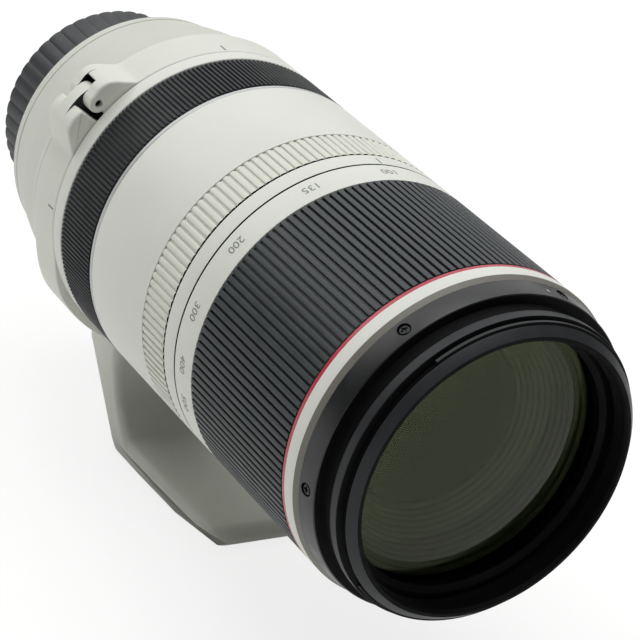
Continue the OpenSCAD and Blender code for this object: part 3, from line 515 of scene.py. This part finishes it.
def figures(words, tall, thick):
    letters = bpy.data.curves.new("figures", "FONT")
    letters.body = words
    letters.size = tall
    letters.align_x = "CENTER"
    letters.align_y = "CENTER"
    letters.extrude = thick / 2
    letters.resolution_u = 5
    maker = newObject("figures", letters)
    mesh = finalMesh(maker)
    shape = bmesh.new()
    shape.from_mesh(mesh)
    bmesh.ops.remove_doubles(shape, verts=shape.verts, dist=1e-4)
    bpy.data.objects.remove(maker)
    bpy.data.meshes.remove(mesh)
    bpy.data.curves.remove(letters)
    return shape


def joined(name, parts):
    shape = bmesh.new()
    for part in parts:
        shape.from_mesh(part.data)
        old = part.data
        bpy.data.objects.remove(part)
        bpy.data.meshes.remove(old)
    return settle(fromShape(name, shape))


# camera at the photograph's viewing angle
view = {"place": (-0.3475, -0.6040, 0.2897), "ahead": (0.5245, 0.7290, -0.4398),
        "up": (0.0842, 0.4697, 0.8788), "lens": 138.13, "sensor": 36.0, "clip": 0.01}
ahead = Vector(view["ahead"]).normalized()
side = ahead.cross(Vector(view["up"])).normalized()
camera = newObject("camera", bpy.data.cameras.new("camera"))
camera.data.lens = view["lens"]
camera.data.sensor_width = view["sensor"]
camera.data.clip_start = view["clip"]
axes = Matrix((side, side.cross(ahead), -ahead)).transposed().to_4x4()
camera.matrix_world = Matrix.Translation(view["place"]) @ axes
bpy.context.scene.camera = camera

# floor of seamless paper: matt white, no gloss; the camera, glass and metal see it lifted to white
paper = {"tone": "#FAFAF8", "rough": 0.9, "reach": 6.0, "below": 0.0002, "lift": 0.8}
shape = bmesh.new()
bmesh.ops.create_grid(shape, x_segments=1, y_segments=1, size=paper["reach"])
for v in shape.verts:
    v.co.z = cadBox[0].z - paper["below"]
floor = fromShape("floor", shape)
seamlessPaper, sheet, matt = newMaterial("seamlessPaper")
matt.inputs["Base Color"].default_value = linear(paper["tone"])
matt.inputs["Roughness"].default_value = paper["rough"]
matt.inputs["Specular IOR Level"].default_value = 0.0
path = addNode(sheet, "ShaderNodeLightPath").outputs
mirrored = addNode(sheet, "ShaderNodeMath",
                   links={0: path["Is Glossy Ray"], 1: path["Is Transmission Ray"]}, operation="ADD")
seen = addNode(sheet, "ShaderNodeMath", links={0: path["Is Camera Ray"], 1: mirrored.outputs[0]},
               operation="ADD", use_clamp=True)
share = addNode(sheet, "ShaderNodeMath", {1: paper["lift"]}, {0: seen.outputs[0]}, operation="MULTIPLY")
glow = addNode(sheet, "ShaderNodeEmission", {"Color": (1, 1, 1, 1), "Strength": 1.0})
blend = addNode(sheet, "ShaderNodeMixShader",
                links={0: share.outputs[0], 1: matt.outputs[0], 2: glow.outputs[0]})
sheet.links.new(blend.outputs[0], sheet.nodes["Material Output"].inputs["Surface"])
floor.data.materials.append(seamlessPaper)

# light: a faint even sky, a wide soft key from above, and two boxes behind the lens
studio = {"sky": 0.09, "middle": (0, -0.1, 0)}
lamps = {
    "key": dict(kind="SUN", energy=2.25, source=(-0.03, -0.04, 0.99), away=2.0, angle=60),
    "box": dict(kind="AREA", energy=20.0, source=(0.25, 0.68, 0.66), away=1.6, size=(3.2, 1.8)),
    "strip": dict(kind="AREA", energy=3.2, source=(-0.44, 0.66, 0.60), away=1.6, size=(1.1, 0.8)),
}
world = bpy.data.worlds.new("studio")
world.use_nodes = True
sky = world.node_tree.nodes["Background"]
sky.inputs["Color"].default_value = (1, 1, 1, 1)
sky.inputs["Strength"].default_value = studio["sky"]
bpy.context.scene.world = world
bpy.context.scene.view_settings.view_transform = "Standard"
for name, look in lamps.items():
    lamp = newObject(name, bpy.data.lights.new(name, look["kind"]))
    lamp.data.energy = look["energy"]
    if look["kind"] == "SUN":
        lamp.data.angle = math.radians(look["angle"])
    else:
        lamp.data.shape = "RECTANGLE"
        lamp.data.size, lamp.data.size_y = look["size"]
    way = Vector(look["source"]).normalized()
    place = Matrix.Translation(Vector(studio["middle"]) + way * look["away"])
    lamp.matrix_world = place @ way.to_track_quat("Z", "Y").to_matrix().to_4x4()
print("camera and light set")

# radii that pieces of the barrel share
barrel = {"outer": 46.9, "seat": 45.05, "bearing": 45.3, "bore": 43.85}
outer, seat, bearing, bore = barrel.values()

# rear housing: a flared shell, then the track of the collar and the seat of the rings
shell = {"flange": 3, "rim": 8, "ledge": 12, "step": 30, "collar": 37, "stop": 50.8, "front": 76.2,
         "spigot": 79.2, "mouth": 30.4, "mount": 36, "rear": 38.3, "inside": 41.55, "track": 43.15}
rearShell = turned("rear_shell", [
    (shell["mouth"], shell["flange"]), (34.8, shell["flange"], 0.3), (40.0, shell["rim"], 0.9), (40.6, 11.2),
    (40.35, 11.4), (40.4, 11.9), (40.72, 12.1), (40.9, 13.0, 6), (43.6, 24.0, 9), (45.2, 33.0, 5),
    (46.0, 35.7, 1.2), (45.75, shell["collar"], 0.4), (shell["track"], shell["collar"]),
    (shell["track"], shell["stop"]), (seat, shell["stop"]), (seat, shell["front"]), (bore, shell["front"]),
    (bore, shell["spigot"]), (shell["inside"], shell["spigot"]), (shell["inside"], shell["step"]),
    (shell["rear"], shell["step"]), (shell["rear"], shell["ledge"]), (shell["mount"], shell["ledge"]),
    (shell["mount"], shell["rim"]), (shell["mouth"], shell["rim"])])
# the flared shell gets the greyer lacquer as painted shade
dress(rearShell, "lens_body", "housingLacquerInPaintedShade", ["rear_housing"])
repaint(rearShell, "mattBlackAndPaintedShade", lambda r, s, a: s > shell["collar"] + hair)

# plain rings of the fixed barrel, from and to along the axis
plain = {"stop": (50.8, 55.8), "trim": (74.4, 76.2), "index": (120.15, 125.65)}
first, last = plain["stop"]
stopRing = turned("stop_band", [(seat, first), (46.7, first, 0.2), (outer, 51.1, 0.3), (outer, last, 0.5),
                                (seat, last)])
dress(stopRing, "lens_body", "satinLacquer", ["stop_ring"])
first, last = plain["trim"]
trimRing = turned("trim_line", [(seat, first), (46.55, first, 0.2), (46.85, 74.8, 0.2), (46.85, 75.8, 0.2),
                                (46.5, last), (seat, last)])
dress(trimRing, "lens_body", "satinAluminium", ["trim_ring"])
first, last = plain["index"]
indexRing = turned("index_band", [(seat, first), (outer, first, 0.1), (outer, last, 0.1), (seat, last)])
dress(indexRing, "lens_body", "satinLacquer", ["index_ring"])
# painted shade: the front face of the index band goes matt black, so the gap before the scale band reads dark
repaint(indexRing, "mattBlackAndPaintedShade", lambda r, s, a: s > plain["index"][1] - hair)

# smooth middle barrel, cut away under the switch panel
middle = {"start": 76.2, "end": 107.1, "tail": 134.0, "panelAngle": (-119.0, -61.0),
          "panel": (80.15, 103.15), "panelFloor": 45.3}
rear = [(bore, middle["start"]), (outer, middle["start"], 0.3)]
neck = [(seat, middle["end"]), (seat, middle["tail"]), (bore, middle["tail"])]
first, last = middle["panelAngle"]
wide = turned("middle_shell", rear + [(outer, middle["end"], 0.15)] + neck, span=(last, 360 + first))
low, high = middle["panel"]
under = turned("under_panel", rear + [
    (outer, low), (middle["panelFloor"], low), (middle["panelFloor"], high), (outer, high),
    (outer, middle["end"], 0.3)] + neck, span=(first, last))
middleShell = joined("middle_shell", [wide, under])
dress(middleShell, "lens_body", "satinLacquer", ["middle_barrel"])
# painted shade: the seat under the gaps in front of the middle barrel goes matt black, so the gaps read dark
repaint(middleShell, "mattBlackAndPaintedShade", lambda r, s, a: r < seat + hair and s > middle["end"] - hair)
print("fixed barrel done")

# focus ring: narrow, hard rubber, fine ribs
focus = {"count": 212, "top": outer, "height": 0.9, "width": 0.86, "corner": 0.36, "start": 56.3, "end": 73.9,
         "core": 46.35, "coreSpan": (56.1, 74.1)}
first, last = focus["coreSpan"]
focusCore = turned("focus_core", [(bearing, first), (focus["core"], first, 0.2), (focus["core"], last, 0.2),
                                  (bearing, last)])
dress(focusCore, "focus_ring", "ebonite", ["focus_ring"])
dress(ribs("focus_ribs", focus, "ebonite"), "focus_ring", "ebonite")

# zoom tension ring: lacquered, with broad rounded ribs
tension = {"count": 128, "top": outer, "height": 0.9, "width": 1.6, "corner": 0.42, "start": 107.45,
           "end": 119.45, "core": 46.45, "taper": 118.95, "coreEnd": 119.3}
tensionCore = turned("tension_core", [
    (bearing, tension["start"]), (tension["core"], tension["start"]), (tension["core"], tension["taper"]),
    (46.4, tension["coreEnd"]), (bearing, tension["coreEnd"])])
dress(tensionCore, "tension_ring", "ribLacquer", ["tension_ring"])
tensionRibs = ribs("tension_ribs", tension, "ribLacquer")
dress(tensionRibs, "tension_ring", "ribLacquer")
# painted shade: the front ends go matt black, so the gap before the index band reads dark
for piece in (tensionCore, tensionRibs):
    repaint(piece, "mattBlackAndPaintedShade", lambda r, s, a: s > tension["taper"])  # the shaded front end

# zoom ring: scale band, a sleeve that runs on from it, and the rubber grip round the sleeve
zoom = {"start": 126.25, "web": 134.4, "grip": 135.4, "end": 182.9, "band": 46.88, "sleeve": 43.6}
zoomBand = turned("scale_band", [
    (bearing, zoom["start"]), (zoom["band"], zoom["start"], 0.1), (zoom["band"], zoom["grip"], 0.15),
    (bearing, zoom["grip"]), (bearing, zoom["end"]), (zoom["sleeve"], zoom["end"]),
    (zoom["sleeve"], zoom["web"]), (bearing, zoom["web"])])
dress(zoomBand, "zoom_ring", "satinLacquer", ["zoom_ring"])
grip = {"count": 135, "top": outer, "height": 1.4, "width": 1.42, "corner": 0.16, "start": 135.55,
        "end": 182.9, "core": 46.0}
gripCore = turned("grip_core", [(bearing, zoom["grip"]), (grip["core"], zoom["grip"]),
                                (grip["core"], grip["end"]), (bearing, grip["end"])])
dress(gripCore, "zoom_ring", "nitrileRubber", ["zoom_grip"])
dress(ribs("grip_ribs", grip, "nitrileRubber"), "zoom_ring", "nitrileRubber")
print("turning rings done")

# printed scale and index line; each figure sits at its angle on the zoom ring
scale = {"marks": (("100", -6.5), ("135", 22.5), ("200", 52.5), ("300", 77.5), ("400", 96.5), ("500", 111.5)),
         "radius": 46.89, "along": 130.2, "tall": 3.6, "thick": 0.06}
marks = [wrapped("figure", figures(words, scale["tall"], scale["thick"]), scale["radius"], angle,
                 scale["along"]) for words, angle in scale["marks"]]
dress(joined("scale_figures", marks), "zoom_ring", "greyInk")
zoomIndex = {"wide": 0.5, "tall": 3.0, "thick": 0.05, "radius": outer, "angle": -7.5, "along": 123.6}
inkLine("zoom_index", zoomIndex, "lens_body", "greyInk")

# front barrel: tube, red line, white band
front = {"bore": 40.25, "tube": 41.95, "back": 87, "line": 183.2, "band": 184.5, "chamfer": 188.55,
         "bezel": 190.1}
tube = front["tube"]
frontTube = turned("front_sleeve", [(front["bore"], front["back"]), (tube, front["back"], 0.2),
                                    (tube, front["bezel"]), (front["bore"], front["bezel"])])
dress(frontTube, "front_barrel", "satinLacquer", ["front_tube"])
redLine = turned("red_line", [(tube, front["line"]), (46.75, front["line"], 0.2), (outer, 183.5, 0.2),
                              (outer, front["band"]), (tube, front["band"])])
dress(redLine, "front_barrel", "redEnamel", ["accent_ring"])
repaint(redLine, "satinLacquer", lambda r, s, a: s < front["line"] + 0.1 and r < 46.7)  # its rear face
frontBand = turned("white_band", [(tube, front["band"]), (outer, front["band"], 0.1),
                                  (outer, front["chamfer"], 0.35), (46.05, front["bezel"]),
                                  (tube, front["bezel"])])
dress(frontBand, "front_barrel", "satinLacquer", ["front_band"])
# the chamfer goes grey, partly as painted shade
repaint(frontBand, "greyChamferAndPaintedShade", lambda r, s, a: 45.5 < r < outer - hair and s > front["chamfer"] + 0.07)

# bezel: hood bayonet outside, filter thread inside
bezel = {"front": 207.6, "crest": 38.1, "root": 38.45, "turns": 6, "firstTurn": 206.6, "pitch": 0.75,
         "gapAt": 83.0, "gap": 94.0, "seat": 39.4, "glass": 198.1}
thread = []
for k in range(bezel["turns"]):  # rounded rings stand for the filter thread
    at = bezel["firstTurn"] - k * bezel["pitch"]
    thread += [(bezel["crest"], at), (bezel["crest"], at - 0.18), (bezel["root"], at - 0.45),
               (bezel["root"], at - 0.55)]
bezelShell = turned("bezel_shell", [
    (front["bore"], front["bezel"]), (46.1, front["bezel"], 0.2), (45.35, 195.85, 0.2), (45.1, 196.05, 0.12),
    (42.7, 196.2, 0.2), (42.4, 200.0, 0.15), (43.2, 200.2, 0.3), (43.2, 203.1, 0.35), (41.0, 203.5, 0.2),
    (41.0, 204.9, 0.1), (41.9, 205.3, 0.2), (39.7, bezel["front"], 0.25), (38.75, bezel["front"], 0.12),
    (38.4, 207.1)] + thread + [
    (38.4, 202.0), (bezel["seat"], 201.8), (bezel["seat"], bezel["glass"]), (front["bore"], bezel["glass"])])
lips = []
for turn in (0, 180):  # the lips of the bayonet, between its two gaps
    first = bezel["gapAt"] + bezel["gap"] / 2 + turn
    lips.append(turned("lip", [(40.7, 203.8), (41.0, 203.8), (42.5, 204.0, 0.15), (42.5, 205.0, 0.2),
                               (41.7, 205.3), (40.7, 205.3)], span=(first, first + 180 - bezel["gap"])))

# countersunk cross-head screws round the bezel
screw = {"count": 6, "first": 36.5, "along": 192.8, "radius": 1.45, "surface": 45.62, "edge": 0.14,
         "deep": 0.9, "sides": 32, "cross": 0.95, "blade": 0.3, "sink": 1.8, "floor": 44.9}


def screwHead(name, look):
    shape = bmesh.new()
    outline = [(look["radius"] * 0.86, 0.0), (look["radius"], -look["edge"]), (look["radius"], -look["deep"])]
    count = look["sides"]
    turns = [2 * math.pi * i / count for i in range(count)]
    rings = [[shape.verts.new((r * math.cos(a), r * math.sin(a), z)) for a in turns] for r, z in outline]
    for near, far in zip(rings, rings[1:]):
        for i in range(count):
            shape.faces.new((near[i], far[i], far[(i + 1) % count], near[(i + 1) % count]))
    shape.faces.new(rings[0])
    shape.faces.new(list(reversed(rings[-1])))
    bmesh.ops.recalc_face_normals(shape, faces=shape.faces)
    head = fromShape(name, shape)
    for angle in (0, 90):
        blade = plate(2 * look["cross"], 2 * look["blade"], look["deep"])
        bmesh.ops.rotate(blade, matrix=Matrix.Rotation(math.radians(angle), 3, "Z"), verts=blade.verts)
        cutAway(head, [fromShape("cross", blade)])
    head.data.transform(Matrix.Translation(onBarrel(look["surface"], 0, look["along"])) @ Matrix.Scale(mm, 4))
    return head


sinks = []
for k in range(screw["count"]):
    at = screw["first"] + 360 * k / screw["count"]
    bottom, top = (onBarrel(radius, at, screw["along"]) for radius in (screw["floor"], 48))
    sinks.append(rod(bottom, top, screw["sink"] * mm))
cutAway(bezelShell, sinks)
bezelShell = joined("bezel_shell", [bezelShell] + lips)
dress(bezelShell, "front_barrel", "anodisedAluminium", ["front_bezel"])


# the front rim and the top of the bayonet, painted grey as painted sheen
def isPaintedSheen(r, s, a):
    rim = r > 39.3 and s > 205.3
    ridge = 42.3 < r < 43.3 and 200.15 < s < 205.1
    return rim or ridge


# the inside, the sinks of the screws and the grooves of the bayonet: dull black, which is painted shade in
# the sinks and grooves
def isShaded(r, s, a):
    half = 180 / screw["count"]
    around = (a - screw["first"] + half) % (2 * half) - half
    offCentre = math.hypot(r * math.radians(around), s - screw["along"])
    inSink = r < 45.6 and offCentre < screw["sink"] + 0.02
    inside = r < 38.7 or s > 207.4
    rearGroove = r < 45.05 and 195.9 < s < 200.15
    frontGroove = r < 43.1 and 203.05 < s < 203.95 or r < 41.5 and 203.05 < s < 205.05
    underRim = r < 42.45 and 204.95 < s < 205.29
    return inSink or inside or rearGroove or frontGroove or underRim


# painted sheen on the rim and the bayonet top, then painted shade in the sinks and grooves
repaint(bezelShell, "paintedGreySheenAndShade", isPaintedSheen)
repaint(bezelShell, "mattBlackAndPaintedShade", isShaded)
oneScrew = screwHead("screw_pattern", screw)
screws = fromTree("bezel_screw_heads", itemsRoundAxis, Item=oneScrew, Count=screw["count"],
                  Step=-2 * math.pi / screw["count"], First=-math.radians(screw["first"]),
                  Finish=paint["blackSteelAndPaintedShade"])
bpy.data.objects.remove(oneScrew)
dress(screws, "front_barrel", "blackSteelAndPaintedShade", ["bezel_screws"])
hoodMark = {"wide": 0.45, "tall": 1.8, "thick": 0.05, "radius": 45.72, "angle": -16.5, "along": 193.0}
inkLine("hood_mark", hoodMark, "front_barrel", "whiteInk")
print("front barrel done")


# a lens face from its rim to the axis; way is 1 where the middle stands forward and -1 where it lies back
def lensFace(look, rim, way, steps):
    flat = math.sqrt(look["curve"] ** 2 - look["radius"] ** 2)
    radii = [look["radius"] * (1 - k / steps) for k in range(steps + 1)]
    return [(r, rim + way * (math.sqrt(look["curve"] ** 2 - r * r) - flat)) for r in radii]


# front glass and the ring that holds it; the edges of lenses are blackened
dome = {"radius": 37.2, "edge": 197.6, "back": 192.6, "curve": 180.0}
frontGlass = turned("front_lens", [(0.0, dome["back"]), (dome["radius"], dome["back"])] +
                    lensFace(dome, dome["edge"], 1, 16), steps=192)
dress(frontGlass, "front_barrel", "coatedGlass", ["front_glass"])
repaint(frontGlass, "lensEdgeLacquer", lambda r, s, a: r > dome["radius"] - 0.3)
holder = turned("glass_holder", [(36.3, bezel["glass"]), (bezel["seat"], bezel["glass"]),
                                 (bezel["seat"], 199.9, 0.2), (37.6, 199.9, 0.3), (36.3, 198.7, 0.2)])
dress(holder, "front_barrel", "mattBlackAndPaintedShade", ["retaining_ring"])

# second glass, hollow at the back, and a lens tinted near black in the throat of the baffle as painted shade
second = {"radius": 36.4, "front": 192.35, "back": 187.65, "curve": 240.0}
secondGlass = turned("second_lens", [(0.0, second["front"]), (second["radius"], second["front"])] +
                     lensFace(second, second["back"], 1, 12), steps=192)
dress(secondGlass, "front_barrel", "clearGlass", ["second_glass"])
repaint(secondGlass, "lensEdgeLacquer", lambda r, s, a: r > second["radius"] - 0.1)
inner = {"radius": 23.35, "back": 169.5, "edge": 176.0, "curve": 75.0}
innerGlass = turned("inner_lens", [(0.0, inner["back"]), (inner["radius"], inner["back"])] +
                    lensFace(inner, inner["edge"], -1, 12), steps=160)
dress(innerGlass, "front_barrel", "deepGlass")

# grooved baffle behind the glass: steps that widen from the throat to the front
baffle = {"count": 12, "back": 153.6, "throat": 175.5, "front": 187.3, "small": 23.4, "large": 35.8}
outline = [(25.0, baffle["back"]), (baffle["small"], baffle["throat"] - 1.0)]
deep = (baffle["front"] - baffle["throat"]) / baffle["count"]
step = (baffle["large"] - baffle["small"]) / baffle["count"]
for k in range(baffle["count"]):
    across, low = baffle["small"] + step * k, baffle["throat"] + deep * k
    outline += [(across, low), (across + 0.12, low + 0.8 * deep, 0.12),
                (across + 0.75 * step, low + deep, 0.15)]
outline += [(35.85, 187.5), (36.45, 187.5), (36.45, 182.5), (36.35, 181.5), (26.6, baffle["back"])]
grooves = turned("baffle_grooves", outline, corners=2)
dress(grooves, "front_barrel", "blackenedBaffle", ["light_baffle"])
print("optics done")

# tripod collar: a strap above and a half with the foot below, joined by a hinge with three knuckles
collar = {"outer": 46.86, "inner": 43.3, "start": 37.3, "end": 50.5, "swell": 2.5, "swellAt": 104,
          "swellOver": 25}
hinge = {"radius": 49.9, "angle": 49.7, "drum": 2.95, "room": 3.6, "pin": 1.16, "split": 46.1, "rear": 41.2,
         "gap": 0.15, "soft": 0.8}
ear = {"at": 53.0, "tilt": -19.51, "gap": 0.4, "thick": 7.5, "inner": -8.6, "outer": 5.0, "start": 38.9,
       "end": 48.9, "soft": 0.9, "strapHole": 2.1, "footHole": 2.5}


def polar(radius, angle, corner=0.0, draw=0.35):
    turn = math.radians(angle)
    return (-radius * math.sin(turn), radius * math.cos(turn), corner, draw)


# a point round the hinge, from straight out towards the foot
def roundHinge(radius, angle, draw=0.6):
    out = math.radians(hinge["angle"])
    turn = math.radians(angle)
    outwards = Vector((-math.sin(out), math.cos(out)))
    onwards = Vector((-math.cos(out), -math.sin(out)))
    at = outwards * (hinge["radius"] + radius * math.cos(turn)) + onwards * radius * math.sin(turn)
    return (at.x, at.y, 0.0, draw)


def arcOf(radius, first, last, step=2.5, draw=0.35):
    count = max(2, round(abs(last - first) / step))
    angles = [first + (last - first) * k / count for k in range(count + 1)]
    return [polar(radius(a) if callable(radius) else radius, a, 0.0, draw) for a in angles]


# the lower half of the collar thickens towards the foot
def lowerRadius(angle):
    t = min(1, max(0, (180 - abs(180 - angle) - collar["swellAt"]) / collar["swellOver"]))
    return collar["outer"] + collar["swell"] * t * t * (3 - 2 * t)


def acrossAxis(a, b, at):
    return Vector((a, -at, b))


# clamp ear on the far side, with the hole for the lock screw; side is 1 on the strap and -1 below
def earBlock(name, side):
    near, far = side * ear["gap"], side * (ear["gap"] + ear["thick"])
    tilt = math.radians(ear["tilt"])

    def place(a, b, at):
        across = ear["at"] + a * math.cos(tilt) - b * math.sin(tilt)
        return Vector((across, -at, a * math.sin(tilt) + b * math.cos(tilt)))

    outline = [(ear["inner"], near, 0, 0.3), (ear["outer"], near, 0.3, 0.4), (ear["outer"], far, 2.2, 0.9),
               (ear["inner"], far, 0, 0.5)]
    block = stacked(name, outline, roundedEnds(ear["start"], ear["end"], ear["soft"], ear["soft"]), place)
    centre = (ear["start"] + ear["end"]) / 2
    hole = ear["strapHole"] if side > 0 else ear["footHole"]
    return cutAway(block, [rod(place(0, -30, centre) * mm, place(0, 30, centre) * mm, hole * mm)])


# one slice of the collar, with the hole for the hinge pin
def collarSlice(name, outline, start, end, softStart, softEnd):
    part = stacked(name, outline, roundedEnds(start, end, softStart, softEnd), acrossAxis)
    x, z = roundHinge(0, 0)[:2]
    return cutAway(part, [rod(acrossAxis(x, z, start - 1) * mm, acrossAxis(x, z, end + 1) * mm,
                              hinge["pin"] * mm)])


# the slices and the ear of one half; side is 1 for the strap, which has the outer knuckles, and -1 below
def collarHalf(outerKnuckle, middleKnuckle, side):
    rear, split = hinge["rear"] - side * hinge["gap"], hinge["split"] + side * hinge["gap"]
    return [collarSlice("front", outerKnuckle, split, collar["end"], 0, hinge["soft"]),
            collarSlice("middle", middleKnuckle, rear, split, 0, 0),
            collarSlice("rear", outerKnuckle, collar["start"], rear, hinge["soft"], 0), earBlock("ear", side)]


rise = [polar(47.3, 35.8, 6, 0.5), polar(49.1, 38.3, 12, 0.7), polar(51.1, 40.6, 12, 0.75),
        polar(52.7, 42.8, 12, 0.75)]
overTop = arcOf(collar["outer"], -86.7, 34.0) + rise
underTop = [polar(collar["inner"], 50.9, 0, 0.3)] + arcOf(collar["inner"], 50.2, -84.7)
strapDrum = [roundHinge(hinge["drum"], a) for a in range(-8, 169, 11)]
strapRoom = [roundHinge(hinge["room"], a, 0.3) for a in range(-124, -179, -9)]
strapOuter = overTop + [polar(53.3, 44.8, 12, 0.75), polar(53.35, 46.8, 12, 0.75)] + strapDrum + [
    polar(46.6, 50.9, 0.2, 0.3)] + underTop
strapMiddle = overTop + [polar(53.2, 45.3, 0.4, 0.4), polar(47.2, 45.7, 0.4, 0.3)] + strapRoom + [
    polar(46.2, 50.9, 0, 0.3)] + underTop
strap = joined("collar_band", collarHalf(strapOuter, strapMiddle, 1))
dress(strap, "collar_strap", "castLacquer", ["collar_strap"])


# the room for the middle knuckle, and the rear joint, painted matt black as painted shade
def inHinge(r, s, a):
    room = abs(s - (hinge["rear"] + hinge["split"]) / 2) < 1.5 and a > 45.4
    return room or abs(s - hinge["rear"] + hinge["gap"]) < 2 * hair


repaint(strap, "mattBlackAndPaintedShade", inHinge)
fall = [polar(53.15, 59.6, 12, 0.75), polar(52.7, 62.0, 12, 0.75), polar(51.25, 63.9, 12, 0.75),
        polar(49.3, 66.2, 12, 0.7), polar(47.5, 68.4, 6, 0.5)]
below = fall + arcOf(lowerRadius, 70.0, 272.1) + [polar(collar["inner"], 274.1, 0, 0.3)] + arcOf(
    collar["inner"], 272.5, 55.5)
lowOuter = [polar(collar["inner"], 54.4, 0, 0.3), polar(47.0, 54.6, 0, 0.3), polar(52.6, 55.0, 0.5, 0.6),
            polar(53.1, 57.4, 8, 0.75)] + below
lowDrum = [roundHinge(hinge["drum"], a, 0.8) for a in range(180, 360, 12)]
lowMiddle = [polar(collar["inner"], 52.9, 0, 0.3), polar(46.2, 52.4, 0.3, 0.3)] + lowDrum + [
    polar(53.3, 52.3, 12, 0.9), polar(53.35, 56.0, 12, 0.9)] + below
lowerRing = collarHalf(lowOuter, lowMiddle, -1)

# the foot: side view drawn in towards both flanks, spread to the tapered plan
foot = {"sole": -77.0, "top": -71.6, "front": 115.5, "corner": 9.0, "half": 17.0, "heel": (63.2, 19.2),
        "arm": (46.0, 18.0), "soft": 0.16, "bush": 6.05, "bushAt": 90.0, "bushDeep": 4.4}
top, sole = foot["top"], foot["sole"]
footSide = [
    (38.0, -43.9, 0, 0.4), (47.5, -43.9, 0, 0.4), (47.5, -49.4, 6, 2.4), (49.1, -54.5, 30, 2.6),
    (52.4, -60.5, 30, 2.6), (56.4, -65.2, 30, 2.6), (60.9, -69.0, 30, 2.6), (64.1, -71.1, 30, 2.6),
    (66.5, top, 30, 2.6), (80.0, top, 0, 2.6), (95.0, top, 0, 2.6), (106.0, top, 0, 2.4),
    (112.6, top, 4, 1.9), (foot["front"], -74.2, 2.5, 1.2), (115.4, -76.0, 1.2, 0.6), (114.0, sole, 1.5, 0.4),
    (95.0, sole, 0, 0.4), (75.0, sole, 0, 0.4), (58.4, sole, 6, 0.5), (54.4, -75.0, 8, 0.5),
    (43.0, -63.9, 0, 0.6), (31.4, -52.6, 3, 0.6), (31.4, -49.8, 1.5, 0.5), (33.0, -47.6, 0.8, 0.5),
    (38.0, -47.6, 0, 0.4)]


def alongFoot(a, b, at):
    heel, arm = foot["heel"], foot["arm"]
    turnAt = foot["front"] - foot["corner"]
    if a > turnAt:
        wide = foot["half"] - foot["corner"] + math.sqrt(max(0, foot["corner"] ** 2 - (a - turnAt) ** 2))
    elif a > heel[0]:
        wide = heel[1] + (foot["half"] - heel[1]) * (a - heel[0]) / (turnAt - heel[0])
    else:
        t = min(1, max(0, (a - arm[0]) / (heel[0] - arm[0])))
        wide = arm[1] + (heel[1] - arm[1]) * t * t * (3 - 2 * t)
    return Vector((at * wide, -a, b))


footShape = stacked("foot", footSide, roundedEnds(-1.0, 1.0, foot["soft"], foot["soft"], 6), alongFoot,
                    corners=6)
bushEnds = [Vector((0, -foot["bushAt"], height)) * mm for height in (sole - 1, sole + foot["bushDeep"])]
cutAway(footShape, [rod(*bushEnds, foot["bush"] * mm)])
collarFoot = joined("collar_and_foot", lowerRing + [footShape])
dress(collarFoot, "tripod_collar", "castLacquer", ["collar_foot"])
# painted shade: the faces inside the front joint go dark grey
repaint(collarFoot, "paintedGreySheenAndShade",  # inside the front joint
        lambda r, s, a: r < 47 and abs(s - hinge["split"] + hinge["gap"]) < 2 * hair)
knob = eased("knob", "lock_knob", 0.5)
dress(knob, "lock_knob", "mouldedAbs", ["lock_knob"])
tick = {"wide": 0.6, "tall": 3.2, "thick": 0.05, "radius": collar["outer"], "along": 48.0}
inkLine("collar_tick_top", dict(tick, angle=0), "collar_strap", "greyInk")
inkLine("collar_tick_side", dict(tick, angle=90), "tripod_collar", "greyInk")

# rear cap: moulded cup with rounded teeth
cap = {"count": 46, "top": 32.6, "height": 1.82, "width": 5.2, "corner": 2.58, "steps": 6, "flat": 0.35,
       "start": -15.0, "end": -0.6, "back": -15.6, "inside": -13.4, "mouth": -0.3, "wall": (29.5, 31.7)}
hollow, wall = cap["wall"]
cup = turned("cap_cup", [
    (0, cap["back"]), (24.0, cap["back"], 0.3), (24.4, cap["start"], 0.2), (26.2, cap["start"], 0.2),
    (26.6, cap["back"], 0.3), (31.3, cap["back"], 0.9), (wall, -13.8, 0.5), (wall, cap["mouth"], 0.3),
    (hollow, cap["mouth"]), (hollow, cap["inside"]), (0, cap["inside"])], steps=230)
dress(cup, "rear_cap", "mouldedAbs", ["rear_cap"])
dress(ribs("cap_teeth", cap, "mouldedAbs"), "rear_cap", "mouldedAbs")
print("collar and cap done")

# switch side
panel = eased("switch_plate", "switch_panel", 0.35)
dress(panel, "lens_body", "panelPlastic", ["switch_panel"])
for label in ("focus_mode", "focus_limit", "stabiliser", "stabiliser_mode"):
    slider = eased(label + "_slider", label + "_switch", 0.4)
    dress(slider, label + "_switch", "mouldedAbs", [label + "_switch"])

# solids that keep their shape get a finish of their own
kept = {
    "turnedAluminium": ("guide_barrel", "drive_sleeve", "cam_barrel"),
    "brass": ("guide_lock_ring", "cam_followers", "carriage_followers", "contact_pins"),
    "mouldedAbs": ("rear_lens_frame", "contact_block", "zoom_carriage", "iris_housing", "focus_cell",
                   "yaw_frame", "pitch_frame"),
    "anodisedAluminium": ("iris_blades",),
    "mattBlackAndPaintedShade": ("front_cell",),
    "clearGlass": ("rear_glass", "stabiliser_glass", "focus_glass"),
    "deepGlass": ("carriage_glass",),
    "stainlessSteel": ("focus_rods", "focus_motor", "mount_screws", "zoom_keys", "tripod_bush"),
    # the hinge pin is black as painted shade in its hole
    "blackSteelAndPaintedShade": ("hinge_pin",),
    "chromedBrass": ("mount_plate",),
    "sealRubber": ("mount_seal", "dust_seal"),
    "boardResist": ("circuit_board",),
}
for finish, names in kept.items():
    for node in names:
        solid = nodes[node]
        solid.data.materials.clear()
        solid.data.materials.append(paint[finish])
print("kept solids dressed")
